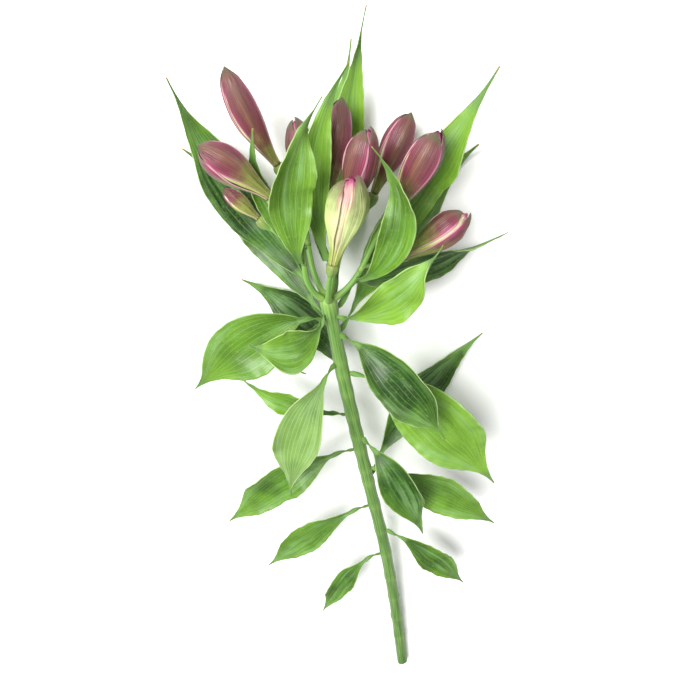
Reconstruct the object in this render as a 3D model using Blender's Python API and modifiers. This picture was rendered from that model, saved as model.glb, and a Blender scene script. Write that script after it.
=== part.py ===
"""A cut stem of alstroemeria in bud, lying on its side.

The stem runs along Y with its cut end towards -Y and its flower head towards +Y. It rests on the plane
z = 0 at three places: the underside of the cut end and a leaf on either side below the head. The places
in the lists below are in millimetres from the umbel's base, the point where the flower rays leave the
stem: x to the right, y towards the flowers, z up.
"""

import math
from dataclasses import dataclass

import bmesh
import bpy
from mathutils import Quaternion, Vector

MM = 0.001

# Driving dimensions of the plant, in millimetres
UMBEL_BASE = Vector((-16.5, 125.0, 42.0))
STEM_RADIUS_AT_CUT = 4.3
STEM_RADIUS_AT_UMBEL = 3.4
NODE_SWELLING = 0.35
SWELLING_REACH = 5.0
UMBEL_RADIUS = 4.4
RAY_RADIUS = 1.45
PEDICEL_RADIUS = 1.15
OVARY_RADIUS = 3.0
OVARY_LENGTH = 7.5
BLADE_THICKNESS = 0.7
TEPAL_OVERLAP_LIFT = 0.05
JOINT_GAP = 0.35
STALK_EASE = 0.4

# A stem leaf's blade stands on a stalk that turns it upside down, and a bract's hardly has one
LEAF_STALK = 0.13
BRACT_STALK = 0.05
STALK_TURN = math.pi
STALK_HALF_WIDTH = 1.5
TIP_HALF_WIDTH = 0.4

# A blade's outline: where it is widest, how hollow its ends are, and where its long tip begins
BLADE_SKEW = 0.85
BLADE_TAPER = 1.2
TIP_STARTS = 0.55
TIP_DRAWN_OUT = 0.55

# How a blade opens out of its folded foot, and how far the waves of one margin lag behind the other's
OPENS_OVER = 0.25
LEAST_BEND = 0.001
MARGIN_LAG = 2.1

# How finely each kind of piece is cut into faces
STALK_ROWS = 4
BLADE_ROWS = 7
BLADE_COLUMNS = 4
PATH_STEPS = 80
STEM_PATH_THINNING = 4
STEM_ROUNDING = 3
RAY_ROUNDING = 1
RAY_ROWS = 7
SHARP_FROM = math.radians(45.0)
WELD = 0.00001

# A bud's tepals: where they are measured from edge to edge, how far each reaches round the bud and
# turns from the last one, and how blunt its tip is
TEPAL_SIDES = (-1.0, -0.5, 0.0, 0.5, 1.0)
TEPAL_HALF_ANGLE = 59.0
TEPAL_TURN = 120.0
TIP_ROUNDNESS = 2.4

# The plane that the stem lies on, the block that cuts the foot's flat along it, in metres, and how far
# the leaves that don't lie on it stay off it
TABLE_HEIGHT = -UMBEL_BASE.z
TABLE_BLOCK = Vector((0.8, 0.8, 0.02))
LEAF_CLEARANCE = 1.5

# The leaves above this y stand too close together for a joint of the stem under each
WHORL_STARTS = -30.0

# The stem's middle line, from the cut end to the umbel
STEM_LINE = (
    (56.0, -376.0, -38.1),
    (53.0, -350.0, -37.0),
    (46.0, -290.0, -32.0),
    (35.0, -210.0, -23.5),
    (21.0, -130.0, -13.5),
    (9.0, -60.0, -5.0),
    (0.0, 0.0, 0.0),
)
CUT_SLANT = Vector((0.35, -1.0, 0.45))
CUT_SHARE = 0.006


@dataclass
class Bud:
    """One flower bud: where it meets its ovary, where its tip is, and its shape."""

    name: str
    base: tuple
    tip: tuple
    radius: float
    bow: tuple = (0.0, 0.0, 0.0)
    turn: float = 0.0
    opening: float = 0.0
    rows: int = 7


@dataclass
class Layer:
    """Three tepals of a bud that stand in one ring, with their shares of the bud's length and width.

    The tips reach furthest at the middle of each tepal and the notches between them lie lower. The floor
    is where the cup closes inside.
    """

    start: float = 0.0
    tip: float = 1.0
    notch: float = 0.17
    floor: float = 0.62
    size: float = 1.0
    turn: float = 0.0
    rows: int = 7


@dataclass
class Ray:
    """One flower stalk of the umbel: the way it leaves the stem, where it forks, and its buds."""

    name: str
    leaves: tuple
    buds: tuple
    fork: float = 0.45


@dataclass
class Leaf:
    """One blade: what it grows from and where, its midrib's three further control points, its shape.

    The place on the stem is a y in millimetres, and on a ray a share of its length.
    """

    name: str
    carrier: str
    place: float
    midrib: tuple
    width: float
    facing: tuple = (0.0, 0.0, 1.0)
    cup: tuple = (28.0, 28.0)
    twist: float = 0.0
    wave: float = 1.3
    waves: float = 1.8
    phase: float = 0.0
    stalk: float = LEAF_STALK
    lies: bool = False


RAYS = (
    Ray("ray_front", (0.05, 0.65, 0.75), (
        Bud("bud_pale_half_open", (3, 27, 13), (12, 70, 20), 8.9, (0, 0, 1.5), 52.0, 0.8),
    )),
    Ray("ray_middle", (0.2, 0.97, 0.0), (
        Bud("bud_plum_middle", (8, 45, 0), (18, 85, 6), 7.2, (1, 0, 1), 75.0, 0.25),
        Bud("bud_plum_high", (1, 50, -11), (7, 92, -14), 6.9, (-1, 0, 1), 10.0, 0.1),
    )),
    Ray("ray_left", (-0.7, 0.65, 0.28), (
        Bud("bud_plum_left", (-24, 56, 8), (-51, 79, 14), 7.2, (-1, 2, 0), 40.0, 0.3),
        Bud("bud_small_left", (-14, 45, -1), (-17, 65, -3), 3.6, (0, 0, 0), 0.0, 0.0, 5),
    )),
    Ray("ray_right", (0.75, 0.6, 0.05), (
        Bud("bud_plum_right", (29, 45, 0), (47, 84, 5), 7.5, (1, 0, 1), 100.0, 0.35),
        Bud("bud_half_open_right", (33, 20, -6), (65, 44, -7), 7.8, (1, -1, 1), 55.0, 0.7),
    )),
    Ray("ray_left_low", (-0.5, 0.65, -0.55), (
        Bud("bud_slender_left", (-22, 64, -11), (-41, 105, -9), 6.4, (-2, 0, 1), 15.0, 0.0),
        Bud("bud_small_low", (-32, 40, -8), (-47, 54, -8), 3.8, (0, 0, 0), 30.0, 0.0, 5),
    )),
    Ray("ray_low", (0.25, 0.65, -0.7), (
        Bud("bud_plum_low", (-8, 42, -22), (-15, 81, -26), 6.8, (0, 0, -1), 60.0, 0.15),
        Bud("bud_plum_low_right", (22, 47, -22), (38, 83, -27), 6.8, (0, 0, -1), 5.0, 0.2),
    ), 0.3),
)

LEAVES = (
    Leaf("bract_leaf_broad", "ray_left", 0.45, ((-15, 38, 15), (-20, 70, 19), (0, 99, 19)), 19.0,
         (0.3, 0.0, 1.0), (32, 26), 35.0, 1.6, 1.8, 0.5, BRACT_STALK),
    Leaf("bract_leaf_narrow", "ray_left_low", 0.4, ((-20, 30, -4), (-34, 56, 2), (-29, 84, 6)), 10.0,
         (0.0, 0.0, 1.0), (55, 45), 0.0, 0.6, 1.8, 1.0, BRACT_STALK),
    Leaf("bract_leaf_sickle", "ray_right", 0.35, ((22, 16, 12), (47, 50, 17), (19, 80, 18)), 16.0,
         (-0.3, 0.0, 1.0), (30, 30), -20.0, 1.0, 1.8, 2.0, BRACT_STALK),
    Leaf("bract_leaf_rear", "ray_middle", 0.5, ((-6, 42, 0), (-11, 78, 1), (10, 108, 3)), 14.0,
         (0.0, 0.0, 1.0), (30, 30), 30.0, 1.2, 1.8, 0.0, BRACT_STALK),
    Leaf("bract_leaf_right", "ray_right", 0.3, ((22, 2, -16), (54, 6, -28), (88, 28, -20)), 19.0,
         (0.0, -0.3, 1.0), (28, 28), 15.0, 1.4, 1.8, 3.0, BRACT_STALK),
    Leaf("bract_leaf_low", "ray_low", 0.45, ((-13, 24, -34), (7, 64, -44), (11, 112, -33)), 19.0,
         (0.0, 0.0, 1.0), (24, 24), 10.0, 1.0, 1.8, 4.0, BRACT_STALK),
    Leaf("whorl_leaf_curled", "stem", -5, ((-6, -14, 12), (-20, -22, 20), (-38, -14, 17)), 22.0,
         (0.0, -0.1, 1.0), (50, 20), 40.0, 2.0, 1.5, 1.0),
    Leaf("whorl_leaf_rolled", "stem", -14, ((-12, -18, -8), (-26, -44, -6), (-14, -54, -16)), 13.0,
         (0.0, 0.0, 1.0), (40, 40), 0.0, 0.6),
    Leaf("whorl_leaf_left", "stem", -9, ((-20, 0, 8), (-44, -18, 14), (-70, -48, 6)), 34.0,
         (-0.1, 0.0, 1.0), (22, 22), 0.0, 1.4),
    Leaf("whorl_leaf_folded", "stem", -18, ((20, -16, 16), (42, -34, 25), (60, -70, 20)), 32.0,
         (0.1, 0.1, 1.0), (80, 40), 0.0, 1.8),
    Leaf("whorl_leaf_upright", "stem", -8, ((14, -2, 12), (34, 8, 24), (50, 40, 22)), 21.0,
         (-0.2, 0.0, 1.0), (40, 30), -30.0, 2.0, 2.2, 2.6),
    Leaf("whorl_leaf_rear_left", "stem", -4, ((-18, 14, -20), (-52, 46, -26), (-66, 100, -12)), 24.0,
         (0.1, 0.0, 1.0), (26, 26), 20.0, 1.5),
    Leaf("whorl_leaf_rear_right", "stem", -6, ((16, 16, -12), (50, 58, -16), (70, 106, -2)), 22.0,
         (0.3, 0.0, 1.0), (26, 26), -20.0, 1.5),
    Leaf("whorl_leaf_rear", "stem", -10, ((4, 14, -26), (5, 70, -36), (17, 126, -18)), 18.0,
         (0.0, 0.0, 1.0), (26, 26), 15.0, 1.2),
    Leaf("whorl_leaf_low_left", "stem", -18, ((-18, 0, -26), (-38, 30, -58), (-70, 64, -36)), 27.0,
         (0.0, 0.0, 1.0), (20, 20), 0.0, 0.8, lies=True),
    Leaf("whorl_leaf_low_right", "stem", -20, ((20, 0, -26), (42, 30, -58), (72, 66, -36)), 27.0,
         (0.0, 0.0, 1.0), (20, 20), 0.0, 0.8, 1.8, 1.0, lies=True),
    Leaf("stem_leaf_broad", "stem", -45, ((34, -40, 4), (64, -74, 10), (94, -116, 6)), 40.0,
         (0.05, 0.0, 1.0), (20, 20), 0.0, 1.8, 1.8, 0.6),
    Leaf("stem_leaf_front", "stem", -36, ((-8, -46, 14), (-22, -74, 24), (-22, -112, 22)), 26.0,
         (-0.1, 0.2, 1.0), (55, 35), 0.0, 1.5, 1.8, 2.0),
    Leaf("stem_leaf_left_narrow", "stem", -76, ((-4, -74, -8), (-28, -74, -8), (-52, -52, -12)), 13.0,
         (0.0, 0.0, 1.0), (35, 35), 0.0, 0.9),
    Leaf("stem_leaf_front_low", "stem", -92, ((30, -96, 6), (44, -118, 16), (54, -150, 14)), 25.0,
         (0.0, 0.2, 1.0), (60, 45), 0.0, 1.6, 1.8, 1.4),
    Leaf("stem_leaf_left", "stem", -104, ((-10, -104, -4), (-36, -124, 2), (-66, -162, -6)), 28.0,
         (-0.1, 0.0, 1.0), (24, 24), 0.0, 1.6, 1.8, 2.8),
    Leaf("stem_leaf_right", "stem", -122, ((44, -120, -6), (72, -136, -2), (103, -166, -8)), 27.0,
         (0.1, 0.0, 1.0), (24, 24), 0.0, 1.6, 1.8, 4.4),
    Leaf("stem_leaf_rear", "stem", -58, ((8, -44, -26), (-20, -20, -38), (-48, -6, -36)), 24.0,
         (0.0, 0.0, 1.0), (22, 22), 0.0, 1.0),
    Leaf("stem_leaf_under", "stem", -134, ((30, -120, -30), (52, -80, -40), (86, -40, -36)), 24.0,
         (0.0, 0.0, 1.0), (22, 22), 0.0, 1.0, 1.8, 5.0),
    Leaf("stem_leaf_low_left", "stem", -158, ((2, -158, -8), (-20, -178, -6), (-46, -218, -16)), 22.0,
         (-0.1, 0.0, 1.0), (26, 26), 0.0, 1.3, 1.8, 0.9),
    Leaf("stem_leaf_low_right", "stem", -186, ((50, -186, -12), (70, -204, -10), (92, -240, -18)), 20.0,
         (0.1, 0.0, 1.0), (26, 26), 0.0, 1.2, 1.8, 3.3),
    Leaf("stem_leaf_lowest", "stem", -214, ((18, -212, -18), (4, -234, -14), (-10, -282, -24)), 16.0,
         (-0.1, 0.0, 1.0), (28, 28), 0.0, 1.0, 1.8, 2.2),
)

# Where the leaves have dropped off the bare foot of the stem, as y along it
LEAF_SCARS = (-244.0, -272.0, -301.0, -331.0)

# How wide a bud is along its length, as shares of its radius
BUD_PROFILE = (
    (0.0, 0.27), (0.12, 0.40), (0.28, 0.68), (0.44, 0.92), (0.58, 1.0),
    (0.73, 0.92), (0.87, 0.64), (0.95, 0.38), (1.0, 0.20),
)

# How the umbel's dome and an ovary narrow and swell: height and radius as shares of their own size
UMBEL_DOME = ((0.0, 1.0), (0.45, 0.9), (0.8, 0.6), (0.95, 0.25))
OVARY_PROFILE = ((0.18, 0.62), (0.45, 0.92), (0.75, 1.0), (1.0, 0.8))

# Where an opening bud's mouth begins, how much it widens there, and how far the bud's belly moves up
MOUTH_STARTS = 0.68
MOUTH_WIDENS = 0.25
BELLY_RISES = 0.5


def smooth_step(share):
    share = min(max(share, 0.0), 1.0)
    return share * share * (3.0 - 2.0 * share)


def profile_at(stations, share):
    """A value read from a list of (share, value) by a smooth curve through them."""
    last = len(stations) - 2
    step = max(i for i in range(last + 1) if stations[i][0] <= share or i == 0)
    start, end = stations[step], stations[step + 1]
    before, after = stations[max(step - 1, 0)], stations[min(step + 2, last + 1)]
    width = end[0] - start[0]
    t = (share - start[0]) / width
    slope_in = (end[1] - before[1]) / (end[0] - before[0]) * width
    slope_out = (after[1] - start[1]) / (after[0] - start[0]) * width
    return (
        (2 * t**3 - 3 * t**2 + 1) * start[1] + (t**3 - 2 * t**2 + t) * slope_in
        + (3 * t**2 - 2 * t**3) * end[1] + (t**3 - t**2) * slope_out
    )


class Path:
    """A smooth line through space with a steady sideways direction, read by share of its length."""

    def __init__(self, points, facing=(0.0, 0.0, 1.0)):
        self.points = points
        self.lengths = [0.0]
        for start, end in zip(points, points[1:]):
            self.lengths.append(self.lengths[-1] + (end - start).length)
        self.tangents = [
            (points[min(i + 1, len(points) - 1)] - points[max(i - 1, 0)]).normalized()
            for i in range(len(points))
        ]
        middle = len(points) // 2
        self.normals = [Vector() for _ in points]
        self.normals[middle] = across(Vector(facing), self.tangents[middle])
        for order in (range(middle + 1, len(points)), range(middle - 1, -1, -1)):
            normal = self.normals[middle]
            for i in order:
                normal = across(normal, self.tangents[i])
                self.normals[i] = normal

    @classmethod
    def bezier(cls, start, first, second, end, facing=(0.0, 0.0, 1.0)):
        points = []
        for step in range(PATH_STEPS + 1):
            t = step / PATH_STEPS
            points.append(
                (1 - t) ** 3 * start + 3 * (1 - t) ** 2 * t * first
                + 3 * (1 - t) * t**2 * second + t**3 * end
            )
        return cls(points, facing)

    @classmethod
    def through(cls, places):
        """A smooth line through every place in turn."""
        stations = [Vector(place) for place in places]
        points = [stations[0]]
        for i in range(len(stations) - 1):
            start, end = stations[i], stations[i + 1]
            before, after = stations[max(i - 1, 0)], stations[min(i + 2, len(stations) - 1)]
            reach = (end - start).length / 3.0
            first = start + (end - before).normalized() * reach
            second = end - (after - start).normalized() * reach
            points += cls.bezier(start, first, second, end).points[STEM_PATH_THINNING::STEM_PATH_THINNING]
        return cls(points)

    def at(self, share):
        """The point, the tangent and the normal at a share of the length."""
        wanted = min(max(share, 0.0), 1.0) * self.lengths[-1]
        i = 0
        while i < len(self.lengths) - 2 and self.lengths[i + 1] < wanted:
            i += 1
        part = (wanted - self.lengths[i]) / (self.lengths[i + 1] - self.lengths[i])
        point = self.points[i].lerp(self.points[i + 1], part)
        tangent = self.tangents[i].lerp(self.tangents[i + 1], part).normalized()
        normal = across(self.normals[i].lerp(self.normals[i + 1], part), tangent)
        return point, tangent, normal

    def share_at_y(self, y):
        """The share of the length at which the line reaches this y."""
        for i in range(len(self.points) - 1):
            start, end = self.points[i].y, self.points[i + 1].y
            if start <= y <= end:
                part = (y - start) / (end - start)
                reached = self.lengths[i] + part * (self.lengths[i + 1] - self.lengths[i])
                return reached / self.lengths[-1]
        raise ValueError(f"the line doesn't reach y = {y}")


def across(direction, tangent):
    """The part of a direction that stands square to a tangent, at unit length."""
    return (direction - direction.dot(tangent) * tangent).normalized()


def in_place(point):
    """A point given in millimetres from the umbel's base, in metres in the part's own frame."""
    return (point + UMBEL_BASE) * MM


def clear_scene():
    for obj in list(bpy.data.objects):
        bpy.data.objects.remove(obj, do_unlink=True)


def new_collection(name):
    collection = bpy.data.collections.new(name)
    bpy.context.scene.collection.children.link(collection)
    return collection


def new_material(name, colour, roughness):
    """A plain finish: colour as linear red, green and blue."""
    material = bpy.data.materials.new(name)
    material.use_nodes = True
    shader = material.node_tree.nodes["Principled BSDF"]
    shader.inputs["Base Color"].default_value = (*colour, 1.0)
    shader.inputs["Roughness"].default_value = roughness
    shader.inputs["Metallic"].default_value = 0.0
    material.diffuse_color = (*colour, 1.0)
    return material


def new_object(name, mesh, collection, material):
    obj = bpy.data.objects.new(name, mesh)
    mesh.materials.clear()
    mesh.materials.append(material)
    collection.objects.link(obj)
    return obj


def evaluated_mesh(obj):
    """The object's mesh with its modifiers or its curve's bevel worked out, its ends welded."""
    bpy.context.view_layer.update()
    graph = bpy.context.evaluated_depsgraph_get()
    mesh = bpy.data.meshes.new_from_object(obj.evaluated_get(graph))
    shape = bmesh.new()
    shape.from_mesh(mesh)
    bmesh.ops.remove_doubles(shape, verts=shape.verts, dist=WELD)
    bmesh.ops.recalc_face_normals(shape, faces=shape.faces)
    shape.to_mesh(mesh)
    shape.free()
    return mesh


def tube(name, points, radii, collection, material, rounding):
    """A closed tube along points in millimetres, with its own radius at each."""
    curve = bpy.data.curves.new(name, "CURVE")
    curve.dimensions = "3D"
    curve.bevel_depth = MM
    curve.bevel_resolution = rounding
    curve.use_fill_caps = True
    spline = curve.splines.new("POLY")
    spline.points.add(len(points) - 1)
    for spot, point, radius in zip(spline.points, points, radii):
        spot.co = (*in_place(point), 1.0)
        spot.radius = radius
    guide = bpy.data.objects.new(name + "_guide", curve)
    collection.objects.link(guide)
    mesh = evaluated_mesh(guide)
    bpy.data.objects.remove(guide, do_unlink=True)
    bpy.data.curves.remove(curve)
    return new_object(name, mesh, collection, material)


def unite(target, collection):
    """Joins every object of a collection to the target in one solid, and removes them."""
    union = target.modifiers.new("Union", "BOOLEAN")
    union.operation = "UNION"
    union.operand_type = "COLLECTION"
    union.collection = collection
    union.solver = "EXACT"
    mesh = evaluated_mesh(target)
    target.modifiers.remove(union)
    target.data = mesh
    for obj in list(collection.objects):
        bpy.data.objects.remove(obj, do_unlink=True)
    bpy.data.collections.remove(collection)


def stem_radius(share):
    return STEM_RADIUS_AT_CUT + (STEM_RADIUS_AT_UMBEL - STEM_RADIUS_AT_CUT) * share


def make_stem(collection, material, path, cutters):
    """The stalk, with a slight swelling at each leaf, a rounded umbel and a slanting cut at its foot."""
    places = [leaf.place for leaf in LEAVES if leaf.carrier == "stem" and leaf.place < WHORL_STARTS]
    nodes = sorted(path.share_at_y(y) for y in (*places, *LEAF_SCARS))
    ends = [0.0, *nodes, 1.0 - UMBEL_RADIUS / path.lengths[-1]]
    between = [(start + end) / 2.0 for start, end in zip(ends, ends[1:])]
    points, radii = [], []
    for share in sorted(ends + between):
        nearest = min(abs(share - node) for node in nodes) * path.lengths[-1]
        points.append(path.at(share)[0])
        bump = math.exp(-((nearest / SWELLING_REACH) ** 2))
        radii.append(stem_radius(share) + NODE_SWELLING * bump)
    top, direction, _ = path.at(1.0)
    for height, radius in UMBEL_DOME:
        points.append(top + direction * (height * UMBEL_RADIUS))
        radii.append(radius * UMBEL_RADIUS)
    stem = tube("stem", points, radii, collection, material, STEM_ROUNDING)
    shape = bmesh.new()
    shape.from_mesh(stem.data)
    cut = in_place(path.at(CUT_SHARE)[0])
    whole = shape.verts[:] + shape.edges[:] + shape.faces[:]
    made = bmesh.ops.bisect_plane(
        shape, geom=whole, dist=1e-7, plane_co=cut, plane_no=CUT_SLANT, clear_outer=True
    )
    rim = [item for item in made["geom_cut"] if isinstance(item, bmesh.types.BMEdge)]
    bmesh.ops.holes_fill(shape, edges=rim, sides=0)
    bmesh.ops.recalc_face_normals(shape, faces=shape.faces)
    shape.to_mesh(stem.data)
    shape.free()
    stem.data.shade_smooth()
    stem.data.set_sharp_from_angle(angle=SHARP_FROM)
    flat = stem.modifiers.new("Table flat", "BOOLEAN")
    flat.operation = "DIFFERENCE"
    flat.object = cutters.objects["table_cutter"]
    return stem


def make_table_cutter(cutters):
    """A block under the plane z = 0, which cuts the small flat that the foot rests on."""
    bpy.ops.mesh.primitive_cube_add(size=1.0)
    block = bpy.context.object
    block.name = "table_cutter"
    block.scale = TABLE_BLOCK
    block.location = (0.0, 0.0, -TABLE_BLOCK.z / 2.0)
    block.hide_render = True
    block.display_type = "WIRE"
    for owner in list(block.users_collection):
        owner.objects.unlink(block)
    cutters.objects.link(block)


def bud_path(bud):
    base, tip, bow = Vector(bud.base), Vector(bud.tip), Vector(bud.bow)
    third = (tip - base) / 3.0
    return Path.bezier(base, base + third + bow, tip - third + bow, tip)


def pedicel_path(start, direction, bud):
    """The line of a flower stalk up to its ovary, and the way its flower points."""
    axis = bud_path(bud).at(0.0)[1]
    end = Vector(bud.base) - axis * (OVARY_LENGTH + JOINT_GAP)
    reach = (end - start).length * STALK_EASE
    return Path.bezier(start, start + direction * reach, end - axis * reach, end), axis


def ray_path(ray):
    direction = Vector(ray.leaves).normalized()
    start = direction * (UMBEL_RADIUS + JOINT_GAP)
    return pedicel_path(start, direction, ray.buds[0])[0]


def make_flower_stalk(name, path, axis, thickness, collection, material):
    """A stalk that thins along its length and ends in a ribbed ovary."""
    points = [path.at(i / RAY_ROWS)[0] for i in range(RAY_ROWS + 1)]
    radii = [
        thickness + (PEDICEL_RADIUS - thickness) * i / RAY_ROWS for i in range(RAY_ROWS + 1)
    ]
    end = points[-1]
    for height, radius in OVARY_PROFILE:
        points.append(end + axis * (height * OVARY_LENGTH))
        radii.append(radius * OVARY_RADIUS)
    return tube(name, points, radii, collection, material, RAY_ROUNDING)


def make_ray(ray, collection, material):
    """One ray of the umbel with the stalks and ovaries of its flowers, in one solid."""
    direction = Vector(ray.leaves).normalized()
    start = direction * (UMBEL_RADIUS + JOINT_GAP)
    main, axis = pedicel_path(start, direction, ray.buds[0])
    body = make_flower_stalk(ray.name, main, axis, RAY_RADIUS, collection, material)
    branches = new_collection(ray.name + "_branches")
    for number, bud in enumerate(ray.buds[1:]):
        fork, tangent, _ = main.at(ray.fork)
        side, side_axis = pedicel_path(fork, tangent, bud)
        make_flower_stalk(f"{ray.name}_{number}", side, side_axis, PEDICEL_RADIUS, branches, material)
    if branches.objects:
        unite(body, branches)
    else:
        bpy.data.collections.remove(branches)
    body.data.shade_smooth()
    body.data.set_sharp_from_angle(angle=SHARP_FROM)
    return body


def bud_radius(bud, share):
    """How wide the bud is at a share of its length, in millimetres."""
    mouth = bud.opening * MOUTH_WIDENS * smooth_step((share - MOUTH_STARTS) / (1.0 - MOUTH_STARTS))
    swollen = min(share, 1.0) ** (1.0 + BELLY_RISES * bud.opening)
    return bud.radius * (profile_at(BUD_PROFILE, swollen) + mouth)


def make_layer(name, bud, path, layer, collection, material):
    """Three tepals side by side in one closed cup: each laps over its neighbour by one edge."""
    columns = 3 * len(TEPAL_SIDES)
    shape = bmesh.new()
    bmesh.ops.create_grid(shape, x_segments=columns, y_segments=layer.rows, size=0.5)
    row_of = shape.verts.layers.int.new("row")
    for vert in shape.verts:
        column = round((vert.co.x + 0.5) * columns) % columns
        row = round((vert.co.y + 0.5) * layer.rows)
        vert[row_of] = row
        tepal, place = divmod(column, len(TEPAL_SIDES))
        side = TEPAL_SIDES[place]
        top = layer.tip - layer.notch * abs(side) ** TIP_ROUNDNESS
        share = layer.start + (top - layer.start) * row / layer.rows
        point, tangent, normal = path.at(share)
        angle = math.radians(bud.turn + layer.turn + TEPAL_TURN * tepal + TEPAL_HALF_ANGLE * side)
        radius = bud_radius(bud, share) * layer.size * (1.0 + TEPAL_OVERLAP_LIFT * side)
        past_tip = path.lengths[-1] * max(share - 1.0, 0.0)
        outward = Quaternion(tangent, angle) @ normal
        vert.co = in_place(point + outward * radius + tangent * past_tip)
    bmesh.ops.remove_doubles(shape, verts=shape.verts, dist=WELD)
    for row, share in ((0, layer.start), (layer.rows, layer.floor)):
        rim = [
            edge for edge in shape.edges
            if edge.is_boundary and all(vert[row_of] == row for vert in edge.verts)
        ]
        made = bmesh.ops.extrude_edge_only(shape, edges=rim)["geom"]
        centre = [item for item in made if isinstance(item, bmesh.types.BMVert)]
        for vert in centre:
            vert.co = in_place(path.at(share)[0])
        bmesh.ops.remove_doubles(shape, verts=centre, dist=WELD)
    bmesh.ops.recalc_face_normals(shape, faces=shape.faces)
    mesh = bpy.data.meshes.new(name)
    shape.to_mesh(mesh)
    shape.free()
    return new_object(name, mesh, collection, material)


def make_bud(bud, collection, material):
    """A flower bud: three outer tepals, with the tips of the three inner ones between theirs."""
    path = bud_path(bud)
    outer = Layer(rows=bud.rows)
    inner = Layer(start=0.5, tip=0.98, notch=0.12, floor=0.8, size=0.86, turn=60.0, rows=4)
    body = make_layer(bud.name, bud, path, outer, collection, material)
    inner_tepals = new_collection(bud.name + "_inner")
    make_layer(bud.name + "_inner", bud, path, inner, inner_tepals, material)
    unite(body, inner_tepals)
    body.data.shade_smooth()
    body.data.set_sharp_from_angle(angle=SHARP_FROM)
    return body


def blade_shape(share):
    """How wide a leaf's blade is at a share of its own length: widest near two fifths, then a long tip."""
    drawn_out = TIP_DRAWN_OUT * smooth_step((share - TIP_STARTS) / (1.0 - TIP_STARTS))
    return math.sin(math.pi * share**BLADE_SKEW) ** BLADE_TAPER * (1.0 - drawn_out)


def leaf_half_width(leaf, share):
    blade = max((share - leaf.stalk) / (1.0 - leaf.stalk), 0.0)
    edge = STALK_HALF_WIDTH + (TIP_HALF_WIDTH - STALK_HALF_WIDTH) * blade
    spread = blade_shape(blade) if 0.0 < blade < 1.0 else 0.0
    return math.hypot(edge, 0.5 * leaf.width * spread)


def leaf_path(leaf, stem, rays):
    """The leaf's midrib, from just clear of what carries it."""
    first, second, tip = (Vector(point) for point in leaf.midrib)
    if leaf.carrier == "stem":
        share = stem.share_at_y(leaf.place)
        foot, along, _ = stem.at(share)
        radius = stem_radius(share) + NODE_SWELLING
    else:
        foot, along, _ = rays[leaf.carrier].at(leaf.place)
        radius = RAY_RADIUS
    outward = across(first - foot, along)
    lean = abs((first - foot).normalized().dot(along))
    start = foot + outward * (radius + JOINT_GAP + STALK_HALF_WIDTH * lean)
    return Path.bezier(start, first, second, tip, leaf.facing)


def blade_point(leaf, path, share, side):
    """Where the blade's middle surface runs, at a share of its length and from edge (-1) to edge (1)."""
    point, tangent, normal = path.at(share)
    blade = max((share - leaf.stalk) / (1.0 - leaf.stalk), 0.0)
    turned = 0.0
    if leaf.stalk == LEAF_STALK:
        turned = STALK_TURN * max(1.0 - share / leaf.stalk, 0.0)
    roll = Quaternion(tangent, turned + math.radians(leaf.twist) * (share - 0.5))
    normal = roll @ normal
    sideways = tangent.cross(normal)
    width = leaf_half_width(leaf, share)
    bend = math.radians(leaf.cup[0] if side < 0.0 else leaf.cup[1])
    bend = max(bend * min(blade / OPENS_OVER, 1.0), LEAST_BEND)
    reach = width * math.sin(bend * side) / bend
    rise = width * (1.0 - math.cos(bend * side)) / bend
    along = math.tau * leaf.waves * blade + leaf.phase + (MARGIN_LAG if side < 0.0 else 0.0)
    rise += leaf.wave * side * side * math.sin(math.pi * blade) * math.sin(along)
    place = point + sideways * reach + normal * rise
    lowest = TABLE_HEIGHT + (0.0 if leaf.lies else LEAF_CLEARANCE) + BLADE_THICKNESS / 2.0
    place.z = max(place.z, lowest)
    return place


def make_leaf(leaf, stem, rays, collection, material):
    path = leaf_path(leaf, stem, rays)
    stalk_rows = STALK_ROWS if leaf.stalk == LEAF_STALK else 1
    shares = [leaf.stalk * i / stalk_rows for i in range(stalk_rows)]
    shares += [
        leaf.stalk + (1.0 - leaf.stalk) * i / BLADE_ROWS for i in range(BLADE_ROWS + 1)
    ]
    rows = len(shares) - 1
    shape = bmesh.new()
    bmesh.ops.create_grid(shape, x_segments=BLADE_COLUMNS, y_segments=rows, size=0.5)
    for vert in shape.verts:
        share = shares[round((vert.co.y + 0.5) * rows)]
        vert.co = in_place(blade_point(leaf, path, share, 2.0 * vert.co.x))
    bmesh.ops.triangulate(shape, faces=shape.faces, quad_method="FIXED")
    mesh = bpy.data.meshes.new(leaf.name)
    shape.to_mesh(mesh)
    shape.free()
    mesh.shade_smooth()
    blade = new_object(leaf.name, mesh, collection, material)
    wall = blade.modifiers.new("Thickness", "SOLIDIFY")
    wall.thickness = BLADE_THICKNESS * MM
    wall.offset = 0.0
    return blade


def main():
    clear_scene()
    parts = new_collection("alstroemeria_stem")
    cutters = new_collection("cutters")
    make_table_cutter(cutters)
    stem_green = new_material("stem green", (0.13, 0.28, 0.07), 0.45)
    leaf_green = new_material("leaf green", (0.09, 0.27, 0.03), 0.5)
    bract_green = new_material("bract green", (0.22, 0.45, 0.06), 0.5)
    plum = new_material("bud plum", (0.25, 0.07, 0.11), 0.55)
    lime = new_material("bud lime", (0.65, 0.72, 0.35), 0.55)
    stem_path = Path.through(STEM_LINE)
    ray_paths = {ray.name: ray_path(ray) for ray in RAYS}
    make_stem(parts, stem_green, stem_path, cutters)
    for ray in RAYS:
        make_ray(ray, parts, stem_green)
        for bud in ray.buds:
            make_bud(bud, parts, lime if "pale" in bud.name else plum)
    for leaf in LEAVES:
        green = leaf_green if leaf.carrier == "stem" else bract_green
        make_leaf(leaf, stem_path, ray_paths, parts, green)


main()
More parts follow.
